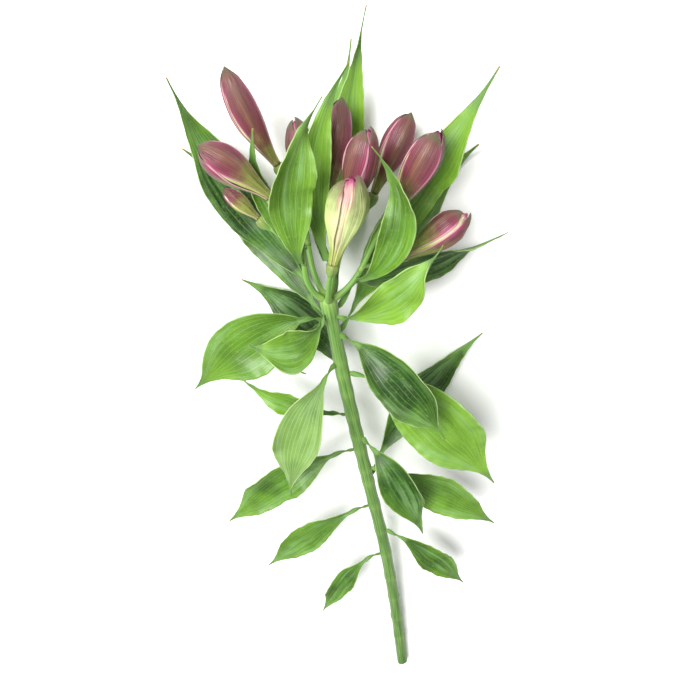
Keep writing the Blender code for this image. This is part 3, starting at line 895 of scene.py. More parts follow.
@dataclass
class Stem:
    """The stalk with its swollen joints, its leaf scars, the umbel's dome and the slanting cut."""

    joints: tuple[float, ...]
    rows_per_mm: float = 0.9
    columns: int = 32
    facets: int = 7
    facet_depth: float = 0.012
    flare_reach: float = 4.0
    joint_pales: float = 0.35
    joint_pales_reach: float = 2.6
    scar_reach: float = 6.0
    scar_height: float = 0.42
    scar_width: float = 0.8
    scar_droop: float = 1.2
    scar_spread: float = 0.6
    scar_bud_rise: float = 1.6
    scar_bud_length: float = 1.2
    scar_bud_focus: float = 12.0
    scar_turn: float = 137.5
    cut_rings: Profile = ((0.35, 0.1), (0.7, 0.0), (1.1, 0.0))

    def __post_init__(self) -> None:
        """Finds the line and the shares of its length where something grows."""
        self.path = Path.through(STEM_LINE)
        self.joint_shares = [self.path.share_at_y(y) for y in self.joints]
        self.scar_shares = [self.path.share_at_y(y) for y in LEAF_SCARS]

    def radius(self, share: float) -> float:
        """The plain radius of the stalk at a share of its length."""
        return STEM_RADIUS_AT_CUT + (STEM_RADIUS_AT_UMBEL - STEM_RADIUS_AT_CUT) * share

    def near_joint(self, share: float, reach: float) -> float:
        """How near the closest joint or scar is, from 0 to 1."""
        nearest = min(abs(share - joint) for joint in (*self.joint_shares, *self.scar_shares))
        return bump(nearest * self.path.length, reach)

    def scars(self, ring: Ring, angle: float) -> float:
        """The leaf scars: a raised crescent round a third of the stem, with a bud above it.

        Args:
            ring: A ring of the stem's skin.
            angle: The angle round it.

        Returns:
            How far the skin is raised there, in millimetres.
        """
        relief = 0.0
        for number, share in enumerate(self.scar_shares):
            off = ring.distance - share * self.path.length
            if abs(off) > self.scar_reach:
                continue
            turned = math.cos(angle - math.radians(self.scar_turn * number))
            faced = max(turned, 0.0)
            crescent = bump(off + self.scar_droop * turned, self.scar_width) * faced**self.scar_spread
            bud = bump(off - self.scar_bud_rise, self.scar_bud_length) * faced**self.scar_bud_focus
            relief += self.scar_height * (crescent + bud)
        return relief

    def rings(self) -> list[Ring]:
        """Lists the rings from the cut end to the top of the umbel.

        Returns:
            The rings in order.
        """
        top = 1.0 - UMBEL_RADIUS / self.path.length
        rows = round(self.path.length * self.rows_per_mm)
        rings = [Ring(self.path.at(0.0), 0.0, 0.0)]
        for share in (top * row / rows for row in range(rows + 1)):
            swelling = NODE_SWELLING * self.near_joint(share, SWELLING_REACH)
            from_top = (share - top) * self.path.length
            flare = (UMBEL_RADIUS - STEM_RADIUS_AT_UMBEL) * bump(from_top, self.flare_reach)
            rings.append(Ring(
                self.path.at(share), self.radius(share) + swelling + flare, share * self.path.length,
                self.facet_depth, self.joint_pales * self.near_joint(share, self.joint_pales_reach),
            ))
        end = self.path.at(1.0)
        for height, radius in UMBEL_DOME:
            station = Station(end.point + end.along * (height * UMBEL_RADIUS), end.along, end.out)
            distance = self.path.length + height * UMBEL_RADIUS
            rings.append(Ring(station, radius * UMBEL_RADIUS, distance, 0.0, DOME_PALES))
        return rings

    def cut(self, shape: Shape) -> None:
        """Cuts the foot off on a slant and gives the cut face a rim and its own material.

        Args:
            shape: The stem's shape.
        """
        made = bmesh.ops.bisect_plane(
            shape, geom=shape.verts[:] + shape.edges[:] + shape.faces[:], dist=CUT_DISTANCE,
            plane_co=in_place(self.path.at(CUT_SHARE).point), plane_no=CUT_SLANT, clear_outer=True,
        )
        rim = [item for item in made["geom_cut"] if isinstance(item, bmesh.types.BMEdge)]
        faces = bmesh.ops.holes_fill(shape, edges=rim, sides=0)["faces"]
        bmesh.ops.recalc_face_normals(shape, faces=shape.faces)
        growth = shape.verts.layers.float_vector["growth"]
        for thickness, depth in self.cut_rings:
            for face in faces:
                face.material_index = 1
            bmesh.ops.inset_region(
                shape, faces=faces, thickness=thickness * MM, depth=-depth * MM, use_even_offset=False
            )
        middle = sum((face.calc_center_median() for face in faces), Vector()) / len(faces)
        face_of_cut = [face for face in shape.faces if face.material_index == 1]
        for vert in (vert for face in face_of_cut for vert in face.verts):
            vert[growth].z = min((vert.co - middle).length / (self.radius(0.0) * MM), 1.0)
        bmesh.ops.triangulate(shape, faces=face_of_cut)
        for vert in shape.verts:
            vert.co.z = max(vert.co.z, 0.0)

    def build(self, skin: Material, pith: Material) -> None:
        """Makes the stem's piece.

        Args:
            skin: The material of its skin.
            pith: The material of its cut face.
        """
        shape = bmesh.new()
        Tube(self.rings(), self.columns, self.facets, self.scars).add_to(shape)
        self.cut(shape)
        new_piece("stem_stalk", shape, (skin, pith), "stem", Slot.STEM)


@dataclass(frozen=True)
class TepalRing:
    """What the three tepals of one ring share.

    Its turn is in degrees and its keel in millimetres. The last three are for a bud that is fully open:
    how far its mouth crumples in millimetres, how much that narrows, and how little the tips close.
    """

    turn: float
    seed: float
    size: float
    keel: float
    crumple: float
    narrows: float
    tips_open: float


OUTER_RING = TepalRing(turn=0.0, seed=0.0, size=1.0, keel=0.4, crumple=0.35, narrows=0.3, tips_open=0.4)
INNER_RING = TepalRing(turn=60.0, seed=3.1, size=0.86, keel=0.9, crumple=2.4, narrows=0.4, tips_open=0.0)


@dataclass
class Bud:
    """One flower bud: three outer tepals wrapped round three inner ones, on the line from base to tip.

    The fields up to opening are those of the solid. The next four say how wide the gaps between the
    outer tepals are, in degrees, how far up the claw's green reaches, how strongly the edges blush,
    and by how many degrees each outer edge draws back towards the mouth.
    """

    name: str
    base: Triple
    tip: Triple
    radius: float
    bow: Triple = (0.0, 0.0, 0.0)
    turn: float = 0.0
    opening: float = 0.0
    gap: float = 9.0
    green_reach: float = 0.0
    blush: float = 0.8
    parting: float = 0.0
    columns: int = 24
    rows: int = 44
    thickness: float = 0.38
    tip_notch: float = 0.12
    row_bunching: float = 0.6
    seed_step: float = 7.3
    outer_shortens: float = 3.0
    inner_widens: float = 9.0
    outer_overlap: float = 4.0
    closes_over: tuple[float, float] = (0.3, 0.45)
    parts_over: tuple[float, float] = (0.42, 0.4)
    mouth_over: tuple[float, float] = (0.72, 0.2)
    keel_width: float = 0.16
    fold: float = 0.3
    fold_place: float = 0.42
    ribs: float = 0.1
    rib_count: float = 4.0
    lip: float = 0.22
    lip_over: tuple[float, float] = (0.8, 0.2)
    ruffle: float = 0.22
    ruffles: tuple[float, float] = (3.0, 9.0)
    crumples: tuple[float, float] = (5.0, 24.0)
    crumple_turn: float = 5.0

    @property
    def pale(self) -> bool:
        """Whether this is the pale green bud."""
        return "pale" in self.name

    def path(self) -> Path:
        """The bud's middle line."""
        base, tip, bow = Vector(self.base), Vector(self.tip), Vector(self.bow)
        return Path.bezier(base, base + (tip - base) / 3.0 + bow, tip - (tip - base) / 3.0 + bow, tip)

    def stalk_line(self, start: Vector, direction: Vector) -> tuple[Path, Vector]:
        """Leads a flower stalk up to the bud's ovary.

        Args:
            start: Where the stalk starts.
            direction: The way it starts.

        Returns:
            The stalk's line, and the way that the flower points.
        """
        axis = self.path().at(0.0).along
        end = Vector(self.base) - axis * (OVARY_LENGTH + JOINT_GAP)
        reach = (end - start).length * STALK_EASE
        return Path.bezier(start, start + direction * reach, end - axis * reach, end), axis

    def width(self, share: float) -> float:
        """The bud's radius in millimetres at a share of its length."""
        mouth = self.opening * MOUTH_WIDENS * ramp(share, MOUTH_STARTS, 1.0 - MOUTH_STARTS)
        return self.radius * (profile_at(BUD_PROFILE, share ** (1.0 + BELLY_RISES * self.opening)) + mouth)

    def add_tepal(self, shape: Shape, path: Path, number: int, inner: bool) -> None:
        """Adds one tepal to the bud's shape.

        Args:
            shape: The bud's shape.
            path: The bud's middle line.
            number: Which of its ring's three tepals this is.
            inner: Whether it stands in the inner ring.
        """
        opening = self.opening
        ring = INNER_RING if inner else OUTER_RING
        seed = self.seed_step * number + ring.seed + self.turn
        middle = self.turn + 120.0 * number + ring.turn
        shorter = OUTER_SHORTER[number] * (1.0 + self.outer_shortens * opening)
        tip = INNER_TIPS[number] if inner else 1.0 - shorter

        def split(column: int, row: int) -> tuple[float, float]:
            """Finds a grid point's place on the tepal.

            Args:
                column: The grid's column.
                row: The grid's row.

            Returns:
                The side, from -1 at one edge to 1 at the other, and the share of the bud's length.
            """
            side = 2.0 * column / self.columns - 1.0
            rise = (1.0 - self.row_bunching) * row / self.rows
            rise += self.row_bunching * math.sin(0.5 * math.pi * row / self.rows)
            return side, (tip - self.tip_notch * abs(side) ** TIP_BLUNTNESS) * rise

        def place(column: int, row: int) -> Vector:
            """Finds where the tepal's outer face runs.

            Args:
                column: The grid's column.
                row: The grid's row.

            Returns:
                The point in metres.
            """
            side, share = split(column, row)
            rise = row / self.rows
            swell = math.sin(math.pi * rise)
            closed = ramp(share, *self.closes_over)
            late = ramp(share, *self.mouth_over)
            parted = self.parting * ramp(share, *self.parts_over)
            wider = self.inner_widens * opening * closed
            lapped = self.outer_overlap * closed - self.gap * (1.0 - closed) - parted
            reach = TEPAL_HALF_ANGLE + (wider if inner else lapped)
            radius = self.width(share) * ring.size * (1.0 + TEPAL_OVERLAP_LIFT * side)
            radius += ring.keel * bump(side, self.keel_width) * math.sin(math.pi * share)
            radius -= self.fold * bump(abs(side) - self.fold_place, self.keel_width) * swell
            radius += self.ribs * math.cos(math.tau * self.rib_count * side) * swell
            radius += self.lip * ramp(abs(side), *self.lip_over) * (1.0 - rise)
            ruffle = noise.noise(Vector((self.ruffles[0] * side, self.ruffles[1] * share, seed)))
            crumple = noise.noise(Vector((self.crumples[0] * side, self.crumples[1] * share, seed)))
            ruffle += late * opening * crumple
            radius += ruffle * (self.ruffle * (1.0 - side * side) + ring.crumple * opening * late)
            radius *= 1.0 - ring.narrows * opening * late
            hood = max((share - tip) / HOOD_LENGTH + 1.0, 0.0)
            closes = TIP_CLOSES - ring.tips_open * opening
            radius *= 1.0 - (1.0 - math.sqrt(max(1.0 - hood * hood, 0.0))) * closes
            turned = math.radians(middle + reach * side + self.crumple_turn * ruffle * late * opening)
            station = path.at(share)
            return in_place(station.point + Quaternion(station.along, turned) @ station.out * radius)

        def tepal(column: int, row: int) -> Vector:
            """The tepal attribute."""
            side, share = split(column, row)
            return Vector((side, share / tip, 1.0 if inner else 0.0))

        tint = Vector((self.green_reach + GREENER[number], self.blush, seed))
        values = {"tepal": tepal, "tint": lambda column, row: tint}
        verts = add_sheet(shape, self.columns, self.rows, place, values)
        for face in {face for vert in verts for face in vert.link_faces}:
            face.material_index = int(inner)

    def build(self, outer: Material, inner: Material) -> None:
        """Makes the bud's piece.

        Args:
            outer: The material of its outer tepals.
            inner: The material of its inner ones.
        """
        path = self.path()
        shape = bmesh.new()
        for number in range(3):
            self.add_tepal(shape, path, number, inner=True)
            self.add_tepal(shape, path, number, inner=False)
        slot = Slot.PALE_BUD if self.pale else Slot.PLUM_BUD
        piece = new_piece(f"{self.name}_tepals", shape, (outer, inner), self.name, slot)
        wall = piece.modifiers.new("Thickness", "SOLIDIFY")
        wall.thickness, wall.offset = self.thickness * MM, -1.0


@dataclass
class Ray:
    """One ray of the umbel: the way it leaves the stem, its buds, and the share where it forks."""

    name: str
    leaves: Triple
    buds: tuple[Bud, ...]
    fork: float = 0.45
    rows_per_mm: float = 1.2
    fewest_rows: int = 8
    facet_depth: float = 0.03
    ovary_rib: float = 0.07
    root_sunk: float = 1.6
    root_swelling: float = 0.25
    root_reach: float = 2.5
    root_pales: float = 0.6
    ribs_start: float = 0.4
    ovary_pales: float = 0.5
    ovary_browns: float = 0.45

    def line(self) -> tuple[Path, Vector]:
        """The line of the ray's first stalk, and the way that its flower points."""
        direction = Vector(self.leaves).normalized()
        return self.buds[0].stalk_line(direction * (UMBEL_RADIUS + JOINT_GAP), direction)

    def stalk(self, path: Path, axis: Vector, thickness: float) -> Tube:
        """Grows a stalk that thins along its length and ends in a ribbed ovary.

        Args:
            path: The stalk's line.
            axis: The way that its flower points.
            thickness: Its radius at the start.

        Returns:
            The stalk as a tube.
        """
        first = path.at(0.0)
        sunk = Station(first.point - first.along * self.root_sunk, first.along, first.out)
        swollen = 1.0 + self.root_swelling
        rings = [Ring(sunk, 0.0, 0.0), Ring(sunk, thickness * swollen, 0.0)]
        rows = max(round(path.length * self.rows_per_mm), self.fewest_rows)
        for share in (row / rows for row in range(rows + 1)):
            radius = thickness + (PEDICEL_RADIUS - thickness) * share
            root = bump(share * path.length, self.root_reach)
            rings.append(Ring(
                path.at(share), radius * (1.0 + self.root_swelling * root), share * path.length,
                self.facet_depth, self.root_pales * root,
            ))
        end = path.at(1.0)
        out = across(end.out, axis)
        for height, radius in OVARY_PROFILE:
            distance = height * OVARY_LENGTH
            rings.append(Ring(
                Station(end.point + axis * distance, axis, out), radius * OVARY_RADIUS,
                path.length + distance, self.ovary_rib * smooth_step(height / self.ribs_start),
                self.ovary_pales * height, self.ovary_browns * smooth_step(height),
            ))
        return Tube(rings)

    def build(self, skin: Material) -> None:
        """Makes the ray's piece with all its stalks and ovaries.

        Args:
            skin: The material of its skin.
        """
        path, axis = self.line()
        shape = bmesh.new()
        self.stalk(path, axis, RAY_RADIUS).add_to(shape)
        fork = path.at(self.fork)
        for bud in self.buds[1:]:
            self.stalk(*bud.stalk_line(fork.point, fork.along), PEDICEL_RADIUS).add_to(shape)
        new_piece(f"{self.name}_stalks", shape, (skin,), self.name, Slot.RAYS)


@dataclass
class Leaf:
    """One leaf or bract: the fields of its solid, then how its edge moves and how old it looks, with painted
    shade and painted backlight in that tone.

    The place on the stem is a y in millimetres, and on a ray a share of its length.
    """

    name: str
    place: float
    midrib: tuple[Triple, Triple, Triple]
    width: float
    carrier: str = "stem"
    facing: Triple = UP
    cup: tuple[float, float] = (28.0, 28.0)
    twist: float = 0.0
    lies: bool = False
    tip_turn: float = 0.0
    wave: float = 1.3
    waves: float = 1.8
    phase: float = 0.0
    frill: float = 1.6
    youth_and_painted_light: float = 0.1
    yellowed: float = 0.5
    underside_up: bool = False
    vein_spacing: float = 2.3
    pucker: float = 1.8
    columns: int = 32
    rows: int = 104
    thickness: float = 0.42
    stalk_fold: float = 50.0
    opens: float = 4.0
    frill_seed: float = 5.0
    crimp_lag: float = 3.0
    root_sunk: float = 0.6
    ripple: float = 0.3
    ripple_length: float = 7.0
    vein_relief: float = 0.06
    midrib_groove: float = 0.3
    midrib_width: float = 0.8

    @property
    def is_bract(self) -> bool:
        """Whether it grows from a ray of the umbel."""
        return self.carrier != "stem"

    @property
    def stalk(self) -> float:
        """The share of its length that is stalk."""
        return BRACT_STALK if self.is_bract else LEAF_STALK

    @property
    def veins(self) -> float:
        """How many main veins lie between the midrib and an edge."""
        return max(round(0.5 * self.width / self.vein_spacing), 2)

    def foot(self, stem: Stem, rays: dict[str, Ray]) -> tuple[Station, float]:
        """Finds where it grows.

        Args:
            stem: The stem.
            rays: The rays by name.

        Returns:
            The place on the middle line of what carries it, and how thick that is there.
        """
        if self.is_bract:
            return rays[self.carrier].line()[0].at(self.place), RAY_RADIUS
        share = stem.path.share_at_y(self.place)
        return stem.path.at(share), stem.radius(share) + NODE_SWELLING

    def path(self, foot: Station, radius: float) -> Path:
        """Leads the midrib's line, from just clear of what carries it.

        Args:
            foot: The place on the middle line of what carries it.
            radius: How thick that is there.

        Returns:
            The line.
        """
        first, second, tip = (Vector(point) for point in self.midrib)
        outward = across(first - foot.point, foot.along)
        lean = abs((first - foot.point).normalized().dot(foot.along))
        start = foot.point + outward * (radius + JOINT_GAP + STALK_HALF_WIDTH * lean)
        return Path.bezier(start, first, second, tip, self.facing)

    def blade_share(self, share: float) -> float:
        """The share of the blade's own length, which starts where the stalk ends."""
        return max((share - self.stalk) / (1.0 - self.stalk), 0.0)

    def half_width(self, share: float) -> float:
        """Works out how wide the leaf is.

        Args:
            share: The share of its length.

        Returns:
            Half its width there in millimetres.
        """
        blade = self.blade_share(share)
        edge = STALK_HALF_WIDTH + (TIP_HALF_WIDTH - STALK_HALF_WIDTH) * blade
        return math.hypot(edge, 0.5 * self.width * blade_outline(blade))

    def turned(self, share: float) -> float:
        """How far it is turned about its midrib, where a stem leaf's stalk turns the blade over."""
        over = 0.0 if self.is_bract else STALK_TURN * max(1.0 - share / self.stalk, 0.0)
        return over + math.radians(self.twist) * (share - 0.5) + math.radians(self.tip_turn) * near_tip(share)

    def point(self, station: Station, distance: float, share: float, side: float) -> Vector:
        """Finds where the blade's middle surface runs.

        Args:
            station: The midrib's place at this share.
            distance: How far along the midrib that is, in millimetres.
            share: The share of the length.
            side: From -1 at one edge to 1 at the other.

        Returns:
            The point in metres.
        """
        blade = self.blade_share(share)
        opened = min(blade * self.opens, 1.0)
        swell = math.sin(math.pi * min(blade, 1.0))
        edge = math.copysign(EDGE_SEED, side)
        seed = self.phase + self.place
        left = side < 0.0
        uneven = noise.noise(Vector((distance / EDGE_SWAY_LENGTH, edge, seed)))
        uneven += FINE_SWAY * noise.noise(Vector((FINER_SWAY * distance / EDGE_SWAY_LENGTH, edge, seed)))
        width = self.half_width(share)
        width *= 1.0 + EDGE_SWAY * uneven * min(opened, self.opens - self.opens * blade)
        bend = math.radians(self.stalk_fold * (1.0 - opened) + self.cup[0 if left else 1] * opened)
        reach = width * math.sin(bend * side) / bend
        rise = width * (1.0 - math.cos(bend * side)) / bend
        wave = math.sin(math.tau * self.waves * blade + self.phase + (WAVE_LAG if left else 0.0))
        frilled = noise.noise(Vector((distance / FRILL_LENGTH, edge, seed + self.frill_seed)))
        frill = 2.0 * self.frill * frilled
        rise += side * side * swell * (self.wave * wave + frill)
        puckered = noise.noise(Vector((distance / PUCKER_LENGTH, side * width / PUCKER_LENGTH, seed)))
        rise += self.pucker * puckered * swell * min(width / PUCKER_WIDTH, 1.0)
        crimp = math.tau * distance / self.ripple_length + self.crimp_lag * self.phase
        crimp += RIPPLE_LAG if left else 0.0
        rise += self.ripple * abs(side) ** 5 * swell * math.sin(crimp)
        rise += self.vein_relief * swell * math.cos(math.tau * self.veins * side)
        rise -= self.midrib_groove * bump(side * width, self.midrib_width) * (1.0 - blade) * opened
        normal = Quaternion(station.along, self.turned(share)) @ station.out
        place = station.point + station.along.cross(normal) * reach + normal * rise
        lowest = TABLE_HEIGHT + (0.0 if self.lies else LEAF_CLEARANCE) + 0.5 * self.thickness
        place.z = max(place.z, lowest)
        return in_place(place)

    def build(self, stem: Stem, rays: dict[str, Ray], upper: Material, lower: Material) -> None:
        """Makes the leaf's piece.

        Args:
            stem: The stem.
            rays: The rays by name.
            upper: The material of its glossy upper face.
            lower: The material of its paler underside.
        """
        foot, radius = self.foot(stem, rays)
        path = self.path(foot, radius)
        stations = [path.at(row / self.rows) for row in range(self.rows + 1)]

        def place(column: int, row: int) -> Vector:
            """Finds where the blade's middle surface runs, with its first row sunk into what carries it.

            Args:
                column: The grid's column.
                row: The grid's row.

            Returns:
                The point in metres.
            """
            share, side = row / self.rows, 2.0 * column / self.columns - 1.0
            point = self.point(stations[row], share * path.length, share, side)
            return point if row else point.lerp(in_place(foot.point), self.root_sunk)

        def blade(column: int, row: int) -> Vector:
            """The blade attribute."""
            share = row / self.rows
            return Vector((2.0 * column / self.columns - 1.0, share, self.half_width(share)))

        shape = bmesh.new()
        growth = Vector((self.veins, self.youth_and_painted_light, self.yellowed))
        values = {"blade": blade, "growth": lambda column, row: growth}
        add_sheet(shape, self.columns, self.rows, place, values)
        faces = (lower, upper) if self.underside_up else (upper, lower)
        slot = Slot.BRACT if self.is_bract else Slot.LEAF
        piece = new_piece(f"{self.name}_blade", shape, faces, self.name, slot)
        wall = piece.modifiers.new("Thickness", "SOLIDIFY")
        wall.thickness, wall.offset, wall.material_offset = self.thickness * MM, 0.0, 1


RAYS = (
    Ray("ray_front", (0.05, 0.65, 0.75), (
        Bud("bud_pale_half_open", (3, 27, 13), (12, 70, 20), 8.9, bow=(0, 0, 1.5), turn=52.0, opening=0.8,
            gap=17.0, blush=1.0, parting=15.0),
    )),
    Ray("ray_middle", (0.2, 0.97, 0.0), (
        Bud("bud_plum_middle", (8, 45, 0), (18, 85, 6), 7.2, bow=(1, 0, 1), turn=75.0, opening=0.25,
            gap=10.0),
        Bud("bud_plum_high", (1, 50, -11), (7, 92, -14), 6.9, bow=(-1, 0, 1), turn=10.0, opening=0.1),
    )),
    Ray("ray_left", (-0.7, 0.65, 0.28), (
        Bud("bud_plum_left", (-24, 56, 8), (-51, 79, 14), 7.2, bow=(-1, 2, 0), turn=40.0, opening=0.3,
            gap=12.0, green_reach=0.22, blush=0.9),
        Bud("bud_small_left", (-14, 45, -1), (-17, 65, -3), 3.6, gap=4.0, green_reach=0.35, blush=0.5),
    )),
    Ray("ray_right", (0.75, 0.6, 0.05), (
        Bud("bud_plum_right", (29, 45, 0), (47, 84, 5), 7.5, bow=(1, 0, 1), turn=100.0, opening=0.35,
            gap=10.0, green_reach=0.05),
        Bud("bud_half_open_right", (33, 20, -6), (65, 44, -7), 7.8, bow=(1, -1, 1), turn=55.0, opening=0.7,
            gap=12.0, green_reach=0.25, blush=1.0, parting=9.0),
    )),
    Ray("ray_left_low", (-0.5, 0.65, -0.55), (
        Bud("bud_slender_left", (-22, 64, -11), (-41, 105, -9), 6.4, bow=(-2, 0, 1), turn=15.0, gap=7.0,
            blush=0.7),
        Bud("bud_small_low", (-32, 40, -8), (-47, 54, -8), 3.8, turn=30.0, gap=4.0, green_reach=0.35,
            blush=0.5),
    )),
    Ray("ray_low", (0.25, 0.65, -0.7), (
        Bud("bud_plum_low", (-8, 42, -22), (-15, 81, -26), 6.8, bow=(0, 0, -1), turn=60.0, opening=0.15),
        Bud("bud_plum_low_right", (22, 47, -22), (38, 83, -27), 6.8, bow=(0, 0, -1), turn=5.0, opening=0.2),
    ), fork=0.3),
)

# Each leaf's tone number is partly its age and partly painted light: the leaves under and behind the stem are
# set dark as painted shade, and the top leaves by the buds pale as painted backlight.
LEAVES = (
    Leaf("bract_leaf_broad", 0.45, ((-15, 38, 15), (-20, 70, 19), (0, 99, 19)), 19.0, carrier="ray_left",
         facing=(0.3, 0, 1), cup=(32, 26), twist=35.0, tip_turn=40.0, wave=1.6, phase=0.5, frill=2.6,
         youth_and_painted_light=0.5),
    Leaf("bract_leaf_narrow", 0.4, ((-20, 30, -4), (-34, 56, 2), (-29, 84, 6)), 10.0,
         carrier="ray_left_low", cup=(55, 45), tip_turn=-40.0, wave=0.6, phase=1.0, youth_and_painted_light=0.35),
    Leaf("bract_leaf_sickle", 0.35, ((22, 16, 12), (47, 50, 17), (19, 80, 18)), 16.0, carrier="ray_right",
         facing=(-0.3, 0, 1), cup=(30, 30), twist=-20.0, tip_turn=-50.0, wave=1.0, phase=2.0, youth_and_painted_light=0.3),
    Leaf("bract_leaf_rear", 0.5, ((-6, 42, 0), (-11, 78, 1), (10, 108, 3)), 14.0, carrier="ray_middle",
         cup=(30, 30), twist=30.0, tip_turn=30.0, wave=1.2, youth_and_painted_light=0.7),
    Leaf("bract_leaf_right", 0.3, ((22, 2, -16), (54, 6, -28), (88, 28, -20)), 19.0, carrier="ray_right",
         facing=(0, -0.3, 1), twist=15.0, tip_turn=40.0, wave=1.4, phase=3.0, youth_and_painted_light=-0.15),
    Leaf("bract_leaf_low", 0.45, ((-13, 24, -34), (7, 64, -44), (11, 112, -33)), 19.0, carrier="ray_low",
         cup=(24, 24), twist=10.0, tip_turn=-60.0, wave=1.0, phase=4.0, youth_and_painted_light=0.8),
    Leaf("whorl_leaf_curled", -5, ((-6, -14, 12), (-20, -22, 20), (-38, -14, 17)), 22.0,
         facing=(0, -0.1, 1), cup=(50, 20), twist=40.0, tip_turn=50.0, wave=2.0, waves=1.5, phase=1.0,
         youth_and_painted_light=0.4),
    Leaf("whorl_leaf_rolled", -14, ((-12, -18, -8), (-26, -44, -6), (-14, -54, -16)), 13.0, cup=(40, 40),
         tip_turn=40.0, wave=0.6, youth_and_painted_light=0.3, underside_up=True),
    Leaf("whorl_leaf_left", -9, ((-20, 0, 8), (-44, -18, 14), (-70, -48, 6)), 34.0, facing=(-0.1, 0, 1),
         cup=(22, 22), tip_turn=-20.0, wave=1.4, youth_and_painted_light=0.35, vein_spacing=2.9),
    Leaf("whorl_leaf_folded", -18, ((20, -16, 16), (42, -34, 25), (60, -70, 20)), 32.0,
         facing=(0.1, 0.1, 1), cup=(80, 40), tip_turn=40.0, wave=1.8, youth_and_painted_light=-0.1, vein_spacing=2.6),
    Leaf("whorl_leaf_upright", -8, ((14, -2, 12), (34, 8, 24), (50, 40, 22)), 21.0, facing=(-0.2, 0, 1),
         cup=(40, 30), twist=-30.0, tip_turn=-70.0, wave=2.0, waves=2.2, phase=2.6, youth_and_painted_light=0.8),
    Leaf("whorl_leaf_rear_left", -4, ((-18, 14, -20), (-52, 46, -26), (-66, 100, -12)), 24.0,
         facing=(0.1, 0, 1), cup=(26, 26), twist=20.0, tip_turn=50.0, wave=1.5, youth_and_painted_light=-0.25),
    Leaf("whorl_leaf_rear_right", -6, ((16, 16, -12), (50, 58, -16), (70, 106, -2)), 22.0,
         facing=(0.3, 0, 1), cup=(26, 26), twist=-20.0, tip_turn=-60.0, wave=1.5, youth_and_painted_light=0.45),
    Leaf("whorl_leaf_rear", -10, ((4, 14, -26), (5, 70, -36), (17, 126, -18)), 18.0, cup=(26, 26),
         twist=15.0, tip_turn=60.0, wave=1.2, youth_and_painted_light=0.8),
    Leaf("whorl_leaf_low_left", -18, ((-18, 0, -26), (-38, 30, -58), (-70, 64, -36)), 27.0, cup=(20, 20),
         lies=True, wave=0.8, youth_and_painted_light=-0.1),
    Leaf("whorl_leaf_low_right", -20, ((20, 0, -26), (42, 30, -58), (72, 66, -36)), 27.0, cup=(20, 20),
         lies=True, wave=0.8, phase=1.0),
    Leaf("stem_leaf_broad", -45, ((34, -40, 4), (64, -74, 10), (94, -116, 6)), 40.0, facing=(0.05, 0, 1),
         cup=(20, 20), wave=1.8, phase=0.6, frill=2.6, youth_and_painted_light=0.75, vein_spacing=3.2),
    Leaf("stem_leaf_front", -36, ((-8, -46, 14), (-22, -74, 24), (-22, -112, 22)), 26.0,
         facing=(-0.1, 0.2, 1), cup=(55, 35), tip_turn=50.0, wave=1.5, phase=2.0, youth_and_painted_light=0.2,
         underside_up=True),
    Leaf("stem_leaf_left_narrow", -76, ((-4, -74, -8), (-28, -74, -8), (-52, -52, -12)), 13.0, cup=(35, 35),
         tip_turn=-60.0, wave=0.9, youth_and_painted_light=0.5),
    Leaf("stem_leaf_front_low", -92, ((30, -96, 6), (44, -118, 16), (54, -150, 14)), 25.0,
         facing=(0, 0.2, 1), cup=(60, 45), tip_turn=-50.0, wave=1.6, phase=1.4, youth_and_painted_light=-0.15),
    Leaf("stem_leaf_left", -104, ((-10, -104, -4), (-36, -124, 2), (-66, -162, -6)), 28.0,
         facing=(-0.1, 0, 1), cup=(24, 24), tip_turn=15.0, wave=1.6, phase=2.8, youth_and_painted_light=0.2),
    Leaf("stem_leaf_right", -122, ((44, -120, -6), (72, -136, -2), (103, -166, -8)), 27.0,
         facing=(0.1, 0, 1), cup=(24, 24), tip_turn=-40.0, wave=1.6, phase=4.4, youth_and_painted_light=0.45),
    Leaf("stem_leaf_rear", -58, ((8, -44, -26), (-20, -20, -38), (-48, -6, -36)), 24.0, cup=(22, 22),
         wave=1.0, youth_and_painted_light=-0.35),
    Leaf("stem_leaf_under", -134, ((30, -120, -30), (52, -80, -40), (86, -40, -36)), 24.0, cup=(22, 22),
         wave=1.0, phase=5.0, youth_and_painted_light=-0.25),
    Leaf("stem_leaf_low_left", -158, ((2, -158, -8), (-20, -178, -6), (-46, -218, -16)), 22.0,
         facing=(-0.1, 0, 1), cup=(26, 26), tip_turn=50.0, phase=0.9, youth_and_painted_light=0.15),
    Leaf("stem_leaf_low_right", -186, ((50, -186, -12), (70, -204, -10), (92, -240, -18)), 20.0,
         facing=(0.1, 0, 1), cup=(26, 26), tip_turn=-60.0, wave=1.2, phase=3.3, youth_and_painted_light=0.15),
    Leaf("stem_leaf_lowest", -214, ((18, -212, -18), (4, -234, -14), (-10, -282, -24)), 16.0,
         facing=(-0.1, 0, 1), tip_turn=30.0, wave=1.0, phase=2.2, yellowed=0.9),
)


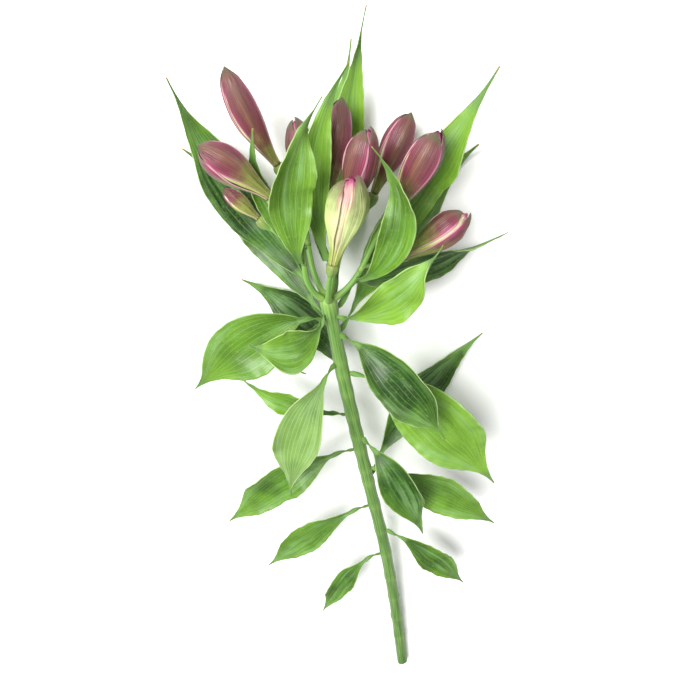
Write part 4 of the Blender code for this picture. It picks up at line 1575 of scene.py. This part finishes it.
@dataclass
class Studio:
    """A pale table, soft daylight from all round and one large lamp, and the camera above the stem."""

    floor_colour: str = "#f8f8f6"
    floor_size: float = 6.0
    daylight: float = 0.5
    lamp_power: float = 47.0
    lamp_size: float = 0.8
    lamp_place: Triple = (-0.55, 0.75, 1.25)
    camera_place: Triple = (-0.006, 0.275, 0.312)
    look_at: Triple = (-0.006, 0.0695, 0.0)
    lens: float = 32.5
    nearest: float = 0.01

    def build_floor(self) -> None:
        """Lays the table under the stem."""
        shape = bmesh.new()
        bmesh.ops.create_grid(shape, x_segments=1, y_segments=1, size=0.5 * self.floor_size)
        mesh = bpy.data.meshes.new("table")
        shape.to_mesh(mesh)
        shape.free()
        paper = Pigment("matte white paper")
        paper.wire(paper.field("ShaderNodeBsdfPrincipled", {
            "Base Color": self.floor_colour, "Roughness": 0.9, "Specular IOR Level": 0.1,
        }))
        mesh.materials.append(paper.material)
        add_object("table", mesh)

    def build_light(self) -> None:
        """Lights the stem as in front of a bright white sheet."""
        world = bpy.data.worlds.new("daylight")
        world.use_nodes = True
        sky = world.node_tree.nodes["Background"]
        sky.inputs["Color"].default_value = linear("#ffffff")
        sky.inputs["Strength"].default_value = self.daylight
        bpy.context.scene.world = world
        lamp = bpy.data.lights.new("softbox", "AREA")
        lamp.energy = self.lamp_power
        lamp.size = self.lamp_size
        holder = add_object("softbox", lamp)
        holder.location = self.lamp_place
        aim = Vector(self.look_at) - Vector(self.lamp_place)
        holder.rotation_euler = aim.to_track_quat("-Z", "Y").to_euler()

    def build_camera(self) -> None:
        """Hangs the camera over the flower head, looking down and back along the stem."""
        back = (Vector(self.camera_place) - Vector(self.look_at)).normalized()
        up = across(Vector((0.0, 1.0, 0.0)), back)
        camera = bpy.data.cameras.new("camera")
        camera.lens = self.lens
        camera.clip_start = self.nearest
        holder = add_object("camera", camera)
        turn = Matrix((up.cross(back), up, back)).transposed().to_4x4()
        holder.matrix_world = Matrix.Translation(Vector(self.camera_place)) @ turn
        bpy.context.scene.camera = holder

    def build(self) -> None:
        """Builds the table, the lights and the camera."""
        self.build_floor()
        self.build_light()
        self.build_camera()
        bpy.context.scene.view_settings.view_transform = "Standard"


def main() -> None:
    """Grows the stem, its leaves and its buds on the frame."""
    logging.basicConfig(level=logging.INFO)
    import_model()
    leaf_faces = LeafFinish().material(), LEAF_UNDERSIDE.material()
    flower_stalk = FLOWER_STALK_SKIN.material()
    plum, lime, inner = (finish.material() for finish in (TepalFinish(), LIME_TEPAL, INNER_TEPAL))
    places = [leaf.place for leaf in LEAVES if not leaf.is_bract and leaf.place < WHORL_STARTS]
    stem = Stem(tuple(places))
    stem.build(StalkFinish().material(), PithFinish().material())
    log.info("stem: %d joints and %d scars", len(places), len(LEAF_SCARS))
    for ray in RAYS:
        ray.build(flower_stalk)
        for bud in ray.buds:
            bud.build(lime if bud.pale else plum, inner)
        log.info("%s: %d buds", ray.name, len(ray.buds))
    rays = {ray.name: ray for ray in RAYS}
    for leaf in LEAVES:
        leaf.build(stem, rays, *leaf_faces)
        log.info("%s: %.0f mm wide", leaf.name, leaf.width)
    Studio().build()


if __name__ == "__main__":
    main()
